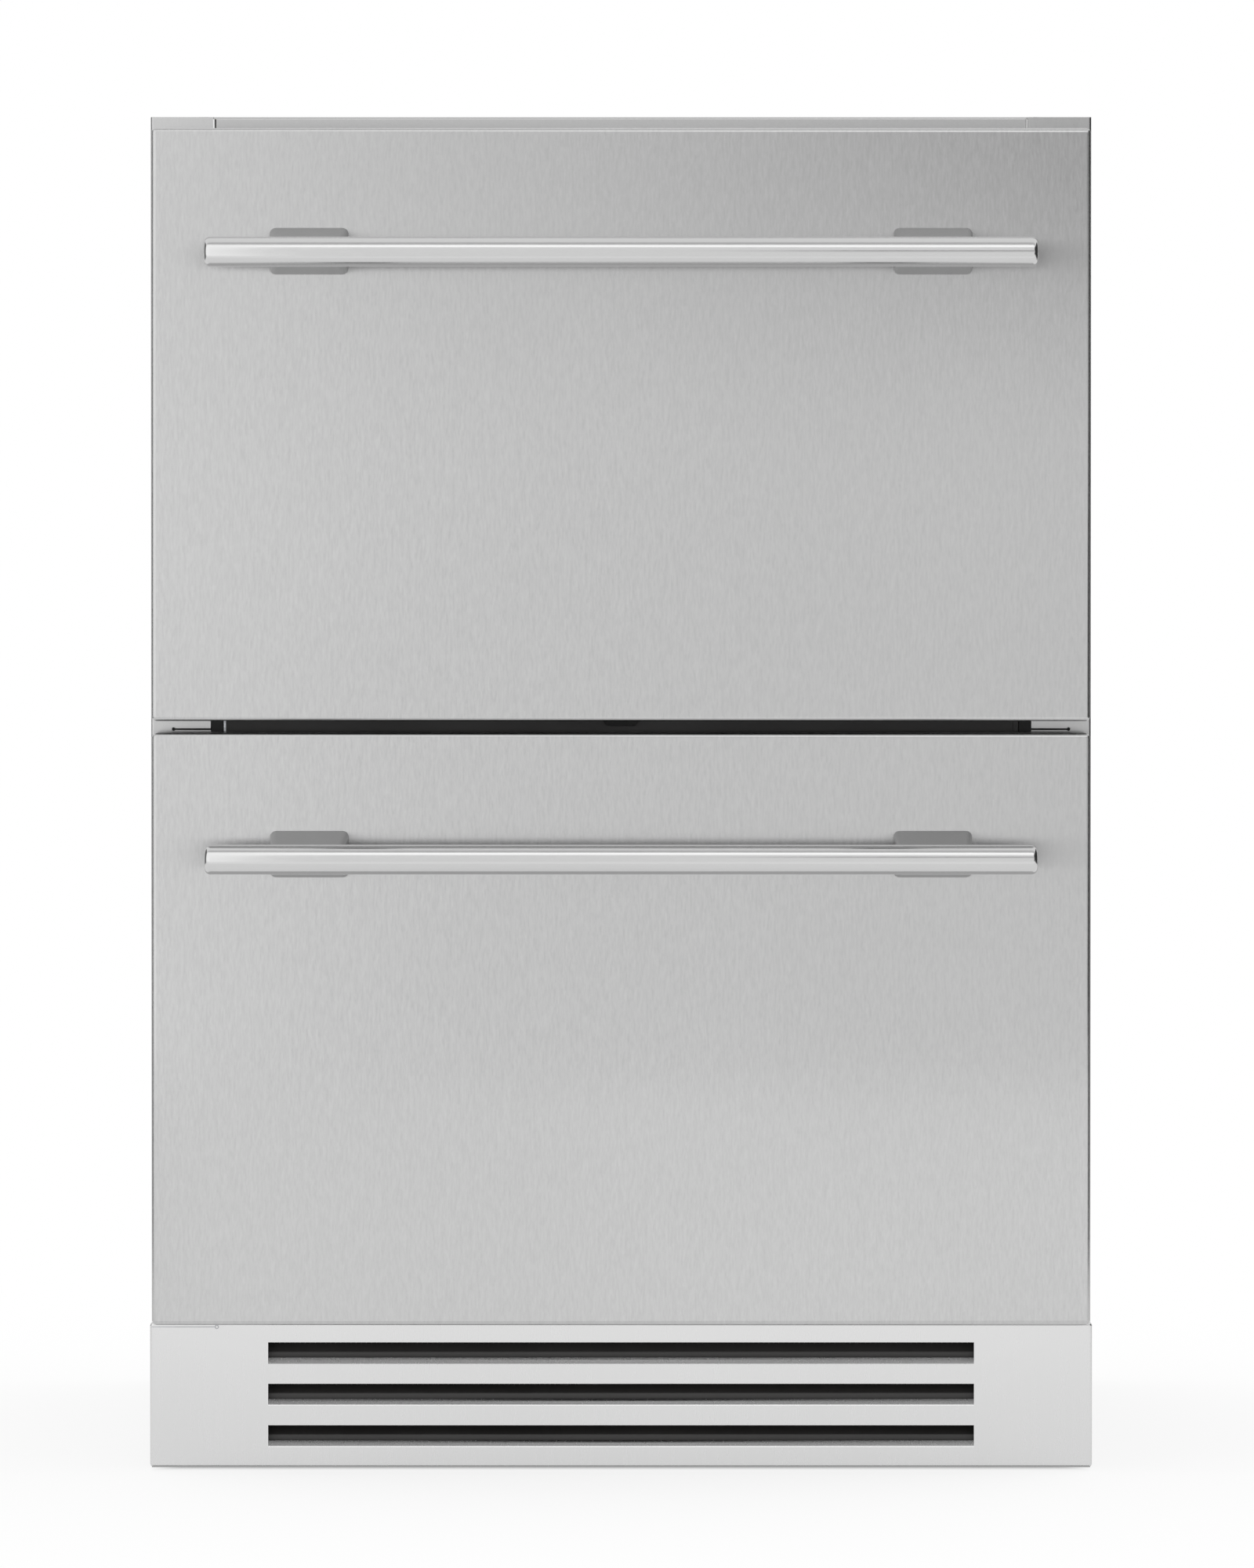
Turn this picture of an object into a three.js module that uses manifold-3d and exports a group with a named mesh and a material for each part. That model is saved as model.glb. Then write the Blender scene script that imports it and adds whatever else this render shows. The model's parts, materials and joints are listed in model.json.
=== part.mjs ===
// An undercounter refrigerator with two full-extension drawers, in millimetres, +Z up.
//
// The front faces -Y. Pieces are modelled with y = 0 at the front face of the cabinet's steel
// flanges, and the whole is then moved so that the origin lies on the floor, under the middle
// of the overall box, handles included.
import * as THREE from "three";
import { mergeVertices } from "three/addons/utils/BufferGeometryUtils.js";
import Module from "manifold-3d";

const wasm = await Module();
wasm.setup();

// ---------------------------------------------------------------- driving dimensions

// Cabinet
const cabinetWidth = 606;
const overallHeight = 870;
const cabinetDepth = 562;
const sheet = 1.2; // cabinet and drawer-front sheet steel
const bendRadius = 1.2; // of bent sheet, at the middle of its thickness
const seat = 0.3; // gap between pieces that rest on each other
const flangeWidth = 38.5;
const sideBottom = 5; // lower edge of the side panels above the floor
const topRailDrop = 41; // front rail of the top panel
const railTab = 2.2; // the flanges are wider by this beside the top rail
const railSeam = 1.6; // open seam at the ends of the top rail
const deckBottom = 97; // underside of the insulated box
const deckRailRise = 36; // front rail of the machine compartment's deck
const slitLength = 24; // relief slit in each flange, level with the gap between the drawers
const slitHeight = 0.8;
const slitDrop = 2.7; // below the middle of that gap
const slitReliefRadius = 1.1;
const ventSlotLength = 210; // air slots in the back panel, in two columns
const ventSlotHeight = 5;
const ventPitch = 15; // rows of slots
const ventLand = 30; // between the two columns
const ventFirstRow = 120;

// Thermal breaker, liner and insulation
const breakerWidth = 8;
const breakerDepth = 5.7;
const linerSheet = 0.8;
const wallInsulation = 40; // back wall and compressor-bay walls
const bayDepth = 190;
const bayTop = 285;

// Mullion and its door switch
const mullionHeight = 80;
const mullionDepth = 30;
const mullionSheet = 1.5;
const switchWidth = 22.5;
const switchHeight = 17;
const switchThickness = 5;
const switchCorner = 4;
const switchRiseInGap = 0.6; // underside of the switch below the middle of the drawer gap
const plungerRadius = 2.5;
const plungerTail = 3; // reach behind the mullion's face
const plungerClearance = 0.4;

// Machine compartment
const panThickness = 1.5;
const panBottom = 10;
const panWall = 15;
const footInset = 35; // foot axis from the cabinet's side
const footSetback = 40; // foot axis from the cabinet's front and back
const footPadEdge = 2;
const footPadRadius = 16;
const footPadHeight = 6;
const footHexRadius = 9;
const studRadius = 4.9;
const studTop = 50;
const studClearance = 0.4;
const footBossRadius = 10;
const footBossHeight = 12;

// Toe grille
const grilleBottom = 1.5;
const grilleHeight = 93.3;
const grilleProud = 22; // its face in front of the flanges
const grilleEdgeRadius = 1.9;
const slotInset = 76; // slot's end from the cabinet's side
const slotHeight = 14;
const slotPitch = 26.7;
const slotCount = 3;
const lowestSlotRise = 13.1; // lowest slot's lower edge above the grille's
const lipRise = 3.4; // lip at a slot's lower edge, bent inwards and up at 45 degrees
const louvreSheet = 1.2;
const louvreSetback = 5.8; // blades behind the grille's face
const louvreDepth = 7;
const louvreSlit = 2.2; // open height above each blade
const louvreEnd = 3; // end plate that ties the blades together

// Refrigeration
const finSheet = 0.9;
const condenserWidth = 464;
const condenserHeight = 76;
const condenserFront = 14;
const condenserDepth = 38;
const condenserFinPitch = 11.25;
const tubeRadius = 3.5;
const fanFrameSize = 80;
const fanFrameDepth = 24;
const condenserFanX = -70;
const condenserFanY = 72;
const condenserFanRadius = 35;
const fanRingClearance = 1.6; // round the blades
const fanStrutWidth = 4;
const fanStrutDepth = 3;
const fanHubRadius = 14;
const fanHubLength = 17;
const fanShaftRadius = 2.2;
const fanShaftClearance = 0.4;
const fanShaftStart = 6; // shaft's end behind the frame's front
const compressorX = 95;
const compressorRadius = 60;
const compressorHeight = 150;
const compressorPlate = 3;
const compressorBossRise = 9;
const compressorBossSpacingX = 150;
const compressorBossSpacingY = 90;
const compressorBossRadius = 9;
const compressorPlateMargin = 14; // foot plate round the bosses
const compressorSeamRise = 80; // welded seam above the can's bottom
const compressorSeamHeight = 5;
const compressorSeamProud = 3;
const compressorCanEdge = 12; // radius at the can's lower edge
const terminalCoverRise = 30; // above the can's bottom
const terminalCoverHeight = 46;
const terminalCoverWidth = 40;
const terminalCoverProud = 16;
const dischargeZ = 118; // discharge stub on the compressor
const dischargeRun = 18; // discharge tube beside the condenser
const trayWidth = 150;
const trayDepth = 110;
const trayHeight = 28;
const trayWall = 2;
const trayCorner = 8;
const trayInset = 90; // from the cabinet's side
const traySetback = 30; // from the bay's front wall
const controlBoxWidth = 120;
const controlBoxHeight = 80;
const controlBoxDepth = 42;
const controlBoxInset = 40; // from the cabinet's side
const controlBoxDrop = 15; // below the bay's ceiling
const controlBoxLid = 4;
const controlBoxLidProud = 2;
const glandRadius = 13;
const glandFlange = 3; // flange round the gland's neck
const glandBore = 4.5;
const glandLength = 16;
const glandInset = 55; // from the cabinet's side
const glandZ = 60;

// Evaporator compartment
const evaporatorRoom = 58.8; // between the cover's face and the back of the liner
const coilWidth = 340;
const coilHeight = 170;
const coilFanGap = 20; // coil below the fan's bracket
const coilDepth = 40;
const coilFinPitch = 12;
const evaporatorFanDrop = 121; // fan's axis below the ceiling
const evaporatorFanRadius = 47;
const fanHoleRadius = 52;
const guardRings = [16, 34];
const guardBar = 3;
const returnSlotLength = 120;
const returnSlotHeight = 6;
const returnSlotPitch = 16;
const returnSlotRise = 22; // lowest row above the cover's foot
const returnSlotRows = 3;
const returnSlotLand = 30; // between the columns of slots
const motorRadius = 19;
const motorLength = 24;
const bracketReach = 10; // motor's bracket past the fan's hole
const bracketHalf = 4; // half width of its arms and posts
const bracketSheet = 3;
const bracketSetback = 6; // arms behind the motor's front
const rotorLength = 18;
const rotorGap = 5; // rotor behind the evaporator cover
const motorGap = 3; // motor behind the rotor
const suctionTubeX = 205;
const suctionTubeRadius = 4;
const suctionBendDrop = 40; // bend of the suction tube below the bay's ceiling
const suctionStubX = 20; // stub on the can beside its axis
const passHoleRadius = 5; // hole that the suction tube passes

// Interior fittings
const panelWidth = 150; // thermostat housing under the ceiling
const panelDepth = 44;
const panelDrop = 22;
const panelSetback = 8;
const panelSlope = 10; // its back edge slopes in by this
const panelEdge = 3; // chamfer of its lower front edge
const knobRadius = 9;
const knobLength = 10;
const knobStemRadius = 3;
const lightLength = 340;
const lightWidth = 14;
const lightDrop = 8;
const lightSetback = 64;

// Drawer fronts
const frontThickness = 44;
const frontGap = 8;
const frontSideReveal = 3; // cabinet's side beyond the fronts
const frontTopReveal = 9; // cabinet's top above the upper front
const frontBottomReveal = 1; // lower front above the toe grille
const frontEdgeRadius = 2.6;
const innerPanelThickness = 2;
const gasketDepth = 8;
const gasketWidth = 18;
const gasketInset = 14;
const gasketCorner = 6;
const gasketFlange = 2; // how far its foot stands out round its lip, and the foot's thickness

// Handles
const upperHandleDrop = 80; // bar's axis below the front's upper edge
const lowerHandleDrop = 78.5;
const handleReach = 47; // bar's axis in front of the drawer front
const barRadius = 9.5;
const barInset = 35.5; // bar's end from the front's side
const barEndRadius = 3.6;
const standoffInset = 100.8; // standoff's middle from the front's side
const standoffWidth = 50.4; // at the drawer front
const standoffHeight = 29.8;
const standoffEndWidth = 46.6; // at the bar
const standoffEndHeight = 18;
const standoffRise = 1.4; // its middle at the drawer front above the bar's axis
const standoffCorner = 4;
const standoffSetback = 5.5; // its end behind the bar's axis

// Drawer bins
const binWall = 1.5;
const binCorner = 6;
const binSideGap = 14.5; // room for the slides on each side
const binRim = 9;
const binRimThickness = 2.5;
const upperBinBackGap = 23.7; // bin in front of the evaporator cover
const lowerBinBackGap = 21.7; // bin in front of the step over the compressor bay
const upperBinRise = 49; // bin's underside above the front's lower edge
const lowerBinRise = 53;
const upperBinDrop = 79; // bin's rim below the front's upper edge
const lowerBinDrop = 75;

// Slides
const slideSheet = 1.4;
const slideHeight = 46;
const slideSetback = 10; // slides start behind the flanges
const slideRise = 90; // slide's middle above the bin's underside
const slideRunning = 0.4; // running gap between slide members

// ---------------------------------------------------------------- derived places

const halfWidth = cabinetWidth / 2;
const flangeInner = halfWidth - flangeWidth;
const shellInner = halfWidth - sheet - seat; // half width of what fits between the side panels
const linerHalf = flangeInner - breakerWidth;
const ceiling = overallHeight - topRailDrop - breakerWidth;
const floorTop = deckBottom + deckRailRise + breakerWidth;
const bayFront = cabinetDepth - bayDepth;
const stepFront = bayFront - wallInsulation;
const stepTop = bayTop + sheet + wallInsulation;
const linerFront = breakerDepth + seat;
const linerBack = cabinetDepth - sheet - wallInsulation;
const coverSetback = linerBack - evaporatorRoom;
const panTop = panBottom + panThickness;

const frontWidth = cabinetWidth - 2 * frontSideReveal;
const barLength = frontWidth - 2 * barInset;
const standoffSpacing = frontWidth - 2 * standoffInset;
const slotWidth = cabinetWidth - 2 * slotInset;
const grilleTop = grilleBottom + grilleHeight;
const frontsBottom = grilleTop + frontBottomReveal;
const frontHeight = (overallHeight - frontTopReveal - frontGap - frontsBottom) / 2;
const upperFrontBottom = overallHeight - frontTopReveal - frontHeight;
const lowerFrontBottom = upperFrontBottom - frontGap - frontHeight;
const gapMiddle = upperFrontBottom - frontGap / 2;
const slitMiddle = gapMiddle - slitDrop;
const frontBack = -gasketDepth; // back plane of the drawer fronts
const frontFace = frontBack - frontThickness;
const barY = frontFace - handleReach;
const binFront = frontBack + seat;
const upperBinBack = coverSetback - upperBinBackGap;
const lowerBinBack = stepFront - lowerBinBackGap;

const bayMiddle = cabinetDepth - bayDepth / 2;
const footX = halfWidth - footInset;
const footYs = [footSetback, cabinetDepth - footSetback];
const switchBottom = gapMiddle - switchRiseInGap;
const plungerZ = switchBottom + switchHeight / 2;
const knobZ = ceiling - seat - panelDrop / 2;
const coilBack = linerBack - seat;
const evaporatorFanZ = ceiling - evaporatorFanDrop;
const bracketArm = fanHoleRadius + bracketReach;
const coilBottom = evaporatorFanZ - bracketArm - coilFanGap - coilHeight;
const suctionTubeY = coilBack - coilDepth / 2;
const glandX = glandInset - halfWidth;
const glandNeck = glandRadius - glandFlange;
const rotorFront = coverSetback + sheet + rotorGap;
const motorFront = rotorFront + rotorLength + motorGap;
const overallFront = barY - barRadius;

// ---------------------------------------------------------------- shape helpers

/** Turns a closed three.js geometry into a manifold solid whose faces point outwards. */
function solidOf(geometry) {
  const bare = geometry.index ? geometry.toNonIndexed() : geometry.clone();
  bare.deleteAttribute("normal");
  bare.deleteAttribute("uv");
  const merged = mergeVertices(bare, 1e-4);
  const triVerts = new Uint32Array(merged.index.array);
  const vertProperties = merged.attributes.position.array;
  const made = new wasm.Manifold(new wasm.Mesh({ numProp: 3, vertProperties, triVerts }));
  if (made.volume() >= 0) return made;
  for (let i = 0; i < triVerts.length; i += 3) {
    [triVerts[i + 1], triVerts[i + 2]] = [triVerts[i + 2], triVerts[i + 1]];
  }
  return new wasm.Manifold(new wasm.Mesh({ numProp: 3, vertProperties, triVerts }));
}

function geometryOf(solid) {
  const { vertProperties, triVerts, numProp } = solid.getMesh();
  const positions = new Float32Array((vertProperties.length / numProp) * 3);
  for (let i = 0; i < positions.length / 3; i++) {
    positions.set(vertProperties.subarray(i * numProp, i * numProp + 3), i * 3);
  }
  const geometry = new THREE.BufferGeometry();
  geometry.setAttribute("position", new THREE.BufferAttribute(positions, 3));
  geometry.setIndex(new THREE.BufferAttribute(new Uint32Array(triVerts), 1));
  geometry.computeVertexNormals();
  return geometry;
}

const join = (first, ...others) => others.reduce((a, b) => a.add(b), first);
const cut = (first, ...tools) => tools.reduce((a, b) => a.subtract(b), first);

function box(x0, x1, y0, y1, z0, z1) {
  const geometry = new THREE.BoxGeometry(x1 - x0, y1 - y0, z1 - z0);
  return solidOf(geometry.translate((x0 + x1) / 2, (y0 + y1) / 2, (z0 + z1) / 2));
}

// The axis of an extrusion, with the two axes that its outline is drawn on.
const bases = {
  x: [[0, 1, 0], [0, 0, 1], [1, 0, 0]],
  y: [[0, 0, 1], [1, 0, 0], [0, 1, 0]],
  z: [[1, 0, 0], [0, 1, 0], [0, 0, 1]],
};

function basisMatrix(axis) {
  return new THREE.Matrix4().makeBasis(...bases[axis].map((v) => new THREE.Vector3(...v)));
}

/** Extrudes an outline from one place on an axis to another. Outlines are [y, z] pairs for the
 * x axis, [z, x] pairs for y and [x, y] pairs for z. */
function prism(axis, outline, from, to, options = {}) {
  const shape = new THREE.Shape(outline.map(([a, b]) => new THREE.Vector2(a, b)));
  const geometry = new THREE.ExtrudeGeometry(shape, {
    depth: to - from,
    bevelEnabled: false,
    ...options,
  });
  return solidOf(geometry.translate(0, 0, from).applyMatrix4(basisMatrix(axis)));
}

/** A cylinder along an axis; a and b are its place on that axis's outline plane. */
function rod(axis, radius, a, b, from, to, segments = 24) {
  const outline = arc(a, b, radius, 0, 2 * Math.PI, segments).slice(0, -1);
  return prism(axis, outline, from, to);
}

/** A block that narrows along Y, between two outlines of [z, x] pairs with as many points each. */
function taperedBlock(nearOutline, farOutline, near, far) {
  const count = nearOutline.length;
  const points = [
    ...nearOutline.map(([z, x]) => new THREE.Vector3(x, near, z)),
    ...farOutline.map(([z, x]) => new THREE.Vector3(x, far, z)),
  ];
  const index = [];
  for (let i = 0; i < count; i++) {
    const next = (i + 1) % count;
    index.push(i, next, next + count, i, next + count, i + count);
    if (i > 1) index.push(0, i, i - 1, count, count + i - 1, count + i);
  }
  const geometry = new THREE.BufferGeometry().setFromPoints(points);
  geometry.setIndex(index);
  return solidOf(geometry);
}

function arc(a, b, radius, start, end, segments) {
  const points = [];
  for (let i = 0; i <= segments; i++) {
    const angle = start + ((end - start) * i) / segments;
    points.push([a + radius * Math.cos(angle), b + radius * Math.sin(angle)]);
  }
  return points;
}

/** A rectangle with round corners, counterclockwise. */
function roundedRectangle(a0, a1, b0, b1, radius, segments = 4) {
  const quarter = Math.PI / 2;
  const corners = [
    [a1 - radius, b0 + radius, -quarter],
    [a1 - radius, b1 - radius, 0],
    [a0 + radius, b1 - radius, quarter],
    [a0 + radius, b0 + radius, 2 * quarter],
  ];
  return corners.flatMap(([a, b, start]) => arc(a, b, radius, start, start + quarter, segments));
}

/** The outline of bent sheet: a line of points at mid thickness, rounded at its bends. */
function bentSheet(points, thickness, radius = bendRadius, segments = 3) {
  const vectors = points.map(([a, b]) => new THREE.Vector2(a, b));
  const line = [vectors[0]];
  for (let i = 1; i < vectors.length - 1; i++) {
    const corner = vectors[i];
    const before = vectors[i - 1].clone().sub(corner).normalize();
    const after = vectors[i + 1].clone().sub(corner).normalize();
    const half = Math.acos(THREE.MathUtils.clamp(before.dot(after), -1, 1)) / 2;
    const reach = radius / Math.tan(half);
    const start = corner.clone().addScaledVector(before, reach);
    const end = corner.clone().addScaledVector(after, reach);
    const middle = before.clone().add(after).normalize();
    const centre = corner.clone().addScaledVector(middle, radius / Math.sin(half));
    const startAngle = start.clone().sub(centre).angle();
    let sweep = end.clone().sub(centre).angle() - startAngle;
    if (sweep > Math.PI) sweep -= 2 * Math.PI;
    if (sweep < -Math.PI) sweep += 2 * Math.PI;
    for (const [a, b] of arc(centre.x, centre.y, radius, startAngle, startAngle + sweep, segments)) {
      line.push(new THREE.Vector2(a, b));
    }
  }
  line.push(vectors[vectors.length - 1]);
  const side = (distance) =>
    line.map((point, i) => {
      const back = point.clone().sub(line[Math.max(i - 1, 0)]).normalize();
      const ahead = line[Math.min(i + 1, line.length - 1)].clone().sub(point).normalize();
      const direction = back.add(ahead).normalize();
      const next = i === line.length - 1 ? direction : ahead;
      const stretch = distance / Math.max(direction.dot(next), 0.5);
      return [point.x - direction.y * stretch, point.y + direction.x * stretch];
    });
  return [...side(thickness / 2), ...side(-thickness / 2).reverse()];
}

/** A solid of revolution about +Z; the profile's [radius, height] pairs start and end on the axis. */
function turned(profile, segments = 24) {
  const points = profile.map(([radius, height]) => new THREE.Vector2(radius, height));
  return solidOf(new THREE.LatheGeometry(points, segments).rotateX(Math.PI / 2));
}

/** A path of straight runs with round bends, whose rings stand only where it bends. */
class BentPath extends THREE.Curve {
  constructor(points, bend, segments = 3) {
    super();
    const corners = points.map((point) => new THREE.Vector3(...point));
    const last = corners.length - 1;
    const heading = corners.slice(1).map((corner, i) => corner.clone().sub(corners[i]).normalize());
    this.rings = [{ point: corners[0], tangent: heading[0] }];
    for (let i = 1; i < last; i++) {
      const half = heading[i - 1].angleTo(heading[i]) / 2;
      const start = corners[i].clone().addScaledVector(heading[i - 1], -bend * Math.tan(half));
      const inward = heading[i].clone().projectOnPlane(heading[i - 1]).normalize();
      const centre = start.clone().addScaledVector(inward, bend);
      for (let j = 0; j <= segments; j++) {
        const angle = (2 * half * j) / segments;
        this.rings.push({
          point: centre.clone()
            .addScaledVector(inward, -bend * Math.cos(angle))
            .addScaledVector(heading[i - 1], bend * Math.sin(angle)),
          tangent: heading[i - 1].clone().multiplyScalar(Math.cos(angle))
            .addScaledVector(inward, Math.sin(angle)),
        });
      }
    }
    this.rings.push({ point: corners[last], tangent: heading[last - 1] });
    this.steps = this.rings.length - 1;
  }

  ringAt(t) {
    return this.rings[Math.round(t * this.steps)];
  }

  getPointAt(t) {
    return this.ringAt(t).point.clone();
  }

  getTangentAt(t) {
    return this.ringAt(t).tangent.clone();
  }
}

/** A round tube or rod that follows points through round bends. */
function bentTube(points, radius, sides = 8) {
  const extrudePath = new BentPath(points, radius * 2.2);
  const section = arc(0, 0, radius, 0, 2 * Math.PI, sides).slice(0, -1);
  const shape = new THREE.Shape(section.map(([a, b]) => new THREE.Vector2(a, b)));
  const { steps } = extrudePath;
  return solidOf(new THREE.ExtrudeGeometry(shape, { extrudePath, steps, bevelEnabled: false }));
}

const mirrorX = (solid) => solid.mirror([1, 0, 0]);

// ---------------------------------------------------------------- materials

function steel(color, roughness) {
  return new THREE.MeshStandardMaterial({ color, roughness, metalness: 1 });
}

function plain(color, roughness) {
  return new THREE.MeshStandardMaterial({ color, roughness, metalness: 0 });
}

const materials = {
  brushedSteel: steel(0xc4c4c6, 0.34),
  handleSteel: steel(0xd0d0d2, 0.22),
  cabinetSteel: steel(0xb4b6b8, 0.42),
  galvanized: steel(0x9fa4a8, 0.5),
  linerSteel: steel(0xb9bcbe, 0.38),
  slideSteel: steel(0xa9adb1, 0.3),
  aluminium: steel(0xb7babd, 0.4),
  copper: steel(0xb4714a, 0.3),
  black: plain(0x161616, 0.5),
  blackEnamel: plain(0x111214, 0.3),
  charcoal: plain(0x33302f, 0.45),
  greyPlastic: plain(0x9a9c9e, 0.5),
  rubber: plain(0x2b2b2c, 0.8),
  foam: plain(0xe6dcae, 0.95),
  lens: plain(0xf4f6f8, 0.3),
  innerPanel: plain(0xd8d9da, 0.4),
};

function piece(name, solid, material) {
  const mesh = new THREE.Mesh(geometryOf(solid), material);
  mesh.name = name;
  return mesh;
}

function groupOf(...members) {
  const group = new THREE.Group();
  members.forEach((member) => group.add(member));
  return group;
}

// ---------------------------------------------------------------- cabinet shell

/** One side: a sheet with a front flange, slit at the height of the drawer gap and wider beside
 * the top rail. */
function sidePanel(side) {
  const middle = halfWidth - sheet / 2;
  const line = [[flangeInner, sheet / 2], [middle, sheet / 2], [middle, cabinetDepth]];
  const tab = box(
    flangeInner - railTab, flangeInner + sheet, 0, sheet,
    overallHeight - topRailDrop, overallHeight,
  );
  const panel = join(prism("z", bentSheet(line, sheet), sideBottom, overallHeight), tab);
  const slit = box(
    flangeInner - sheet, flangeInner + slitLength, -sheet, 2 * sheet,
    slitMiddle - slitHeight / 2, slitMiddle + slitHeight / 2,
  );
  const relief = rod(
    "y", slitReliefRadius, slitMiddle, flangeInner + slitLength, -sheet, 2 * sheet, 10,
  );
  const right = cut(panel, slit, relief);
  return side > 0 ? right : mirrorX(right);
}

/** Takes a bent sheet's front corners away where the side panels' flanges run. */
function clearOfFlanges(solid, inner, bottom, top) {
  const back = sheet + seat;
  return cut(
    solid,
    box(inner, halfWidth, -sheet, back, bottom, top),
    box(-halfWidth, -inner, -sheet, back, bottom, top),
  );
}

function topPanel() {
  const middle = overallHeight - sheet / 2;
  const line = [
    [sheet / 2, overallHeight - topRailDrop],
    [sheet / 2, middle],
    [cabinetDepth - sheet - seat, middle],
  ];
  const panel = prism("x", bentSheet(line, sheet), -shellInner, shellInner);
  const end = flangeInner - railTab - railSeam;
  return clearOfFlanges(panel, end, overallHeight - 2 * topRailDrop, overallHeight + sheet);
}

/** The bent sheet that closes the insulated box from below: rail, deck, bay wall, bay ceiling. */
function machineDeck() {
  const half = sheet / 2;
  const line = [
    [half, deckBottom + deckRailRise],
    [half, deckBottom + half],
    [bayFront + half, deckBottom + half],
    [bayFront + half, bayTop + half],
    [cabinetDepth - sheet - seat, bayTop + half],
  ];
  const deck = prism("x", bentSheet(line, sheet), -shellInner, shellInner);
  const end = flangeInner - seat;
  const clear = clearOfFlanges(deck, end, deckBottom - sheet, deckBottom + 2 * deckRailRise);
  return cut(clear, suctionHole(bayTop - sheet, bayTop + 2 * sheet));
}

/** The hole that lets the suction tube down into the compressor bay. */
function suctionHole(from, to) {
  return rod("z", passHoleRadius, suctionTubeX, suctionTubeY, from, to, 16);
}

/** The back: a flat sheet, with air slots over the compressor bay and a hole for the gland. */
function backPanel() {
  const slots = [];
  const rows = Math.floor((bayTop - ventFirstRow - ventPitch) / ventPitch);
  for (let row = 0; row < rows; row++) {
    const z = ventFirstRow + row * ventPitch;
    for (const start of [-ventLand / 2 - ventSlotLength, ventLand / 2]) {
      slots.push(box(
        start, start + ventSlotLength, cabinetDepth - 2 * sheet, cabinetDepth + sheet,
        z, z + ventSlotHeight,
      ));
    }
  }
  const panel = box(
    -shellInner, shellInner, cabinetDepth - sheet, cabinetDepth, panBottom, overallHeight,
  );
  return cut(panel, ...slots, glandHole());
}

function glandHole() {
  const neck = glandNeck + seat;
  return rod("y", neck, glandZ, glandX, cabinetDepth - 2 * sheet, cabinetDepth + sheet, 20);
}

/** A rubber bushing in the back panel, flanged on the inside, that the supply cord comes through. */
function cordGland() {
  const flangeBack = cabinetDepth - sheet - seat;
  const flange = rod("y", glandRadius, glandZ, glandX, flangeBack - glandLength, flangeBack, 20);
  const neck = rod("y", glandNeck, glandZ, glandX, flangeBack - sheet, cabinetDepth - seat, 20);
  const bore = rod(
    "y", glandBore, glandZ, glandX, flangeBack - 2 * glandLength, cabinetDepth + glandLength, 16,
  );
  return cut(join(flange, neck), bore);
}

// ---------------------------------------------------------------- insulated box

/** The side outline of the box, stepped over the compressor bay; grow moves its sides outwards. */
function steppedOutline(front, bottom, wall, stepHeight, back, top, grow) {
  return [
    [front, bottom - grow],
    [wall + grow, bottom - grow],
    [wall + grow, stepHeight - grow],
    [back + grow, stepHeight - grow],
    [back + grow, top + grow],
    [front, top + grow],
  ];
}

function linerOutline(front, grow) {
  return steppedOutline(front, floorTop, stepFront, stepTop, linerBack, ceiling, grow);
}

function innerLiner() {
  const outer = linerHalf + linerSheet;
  const shell = prism("x", linerOutline(linerFront, linerSheet), -outer, outer);
  const room = prism("x", linerOutline(-linerFront, 0), -linerHalf, linerHalf);
  return cut(shell, room, suctionHole(stepTop - 2 * linerSheet, stepTop + linerSheet));
}

function cabinetInsulation() {
  const front = sheet + seat;
  const outline = steppedOutline(
    front, deckBottom + front, bayFront - seat, bayTop + front,
    cabinetDepth - front, overallHeight - front, 0,
  );
  const block = prism("x", outline, -shellInner, shellInner);
  const roomHalf = linerHalf + linerSheet + seat;
  const room = prism("x", linerOutline(-linerFront, linerSheet + seat), -roomHalf, roomHalf);
  const rim = box(
    -flangeInner, flangeInner, -front, linerFront,
    deckBottom + deckRailRise, overallHeight - topRailDrop,
  );
  return cut(block, room, rim, suctionHole(bayTop, stepTop));
}

/** The plastic frame that parts the warm steel front from the cold liner. */
function breakerFrame() {
  const outerHalf = flangeInner - seat;
  const outer = box(
    -outerHalf, outerHalf, 0, breakerDepth,
    deckBottom + deckRailRise + seat, overallHeight - topRailDrop - seat,
  );
  const inner = box(
    -linerHalf, linerHalf, -breakerDepth, 2 * breakerDepth, floorTop, ceiling,
  );
  return cut(outer, inner);
}

/** The channel across the front between the two drawers. */
function mullion() {
  const half = mullionSheet / 2;
  const top = gapMiddle + mullionHeight / 2 - half;
  const bottom = gapMiddle - mullionHeight / 2 + half;
  const line = [[mullionDepth, top], [half, top], [half, bottom], [mullionDepth, bottom]];
  const channel = prism("x", bentSheet(line, mullionSheet), -linerHalf + seat, linerHalf - seat);
  const hole = plungerRadius + plungerClearance;
  return cut(channel, rod("y", hole, plungerZ, 0, -mullionSheet, 2 * mullionSheet, 16));
}

function drawerSwitchHousing() {
  const outline = roundedRectangle(
    switchBottom, switchBottom + switchHeight, -switchWidth / 2, switchWidth / 2, switchCorner,
  );
  const back = -seat;
  const housing = prism("y", outline, back - switchThickness, back);
  const hole = plungerRadius + plungerClearance;
  return cut(housing, rod("y", hole, plungerZ, 0, -2 * switchThickness, switchThickness, 16));
}

function drawerSwitchPlunger() {
  return rod("y", plungerRadius, plungerZ, 0, frontBack + seat, plungerTail, 16);
}

// ---------------------------------------------------------------- machine compartment

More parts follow.
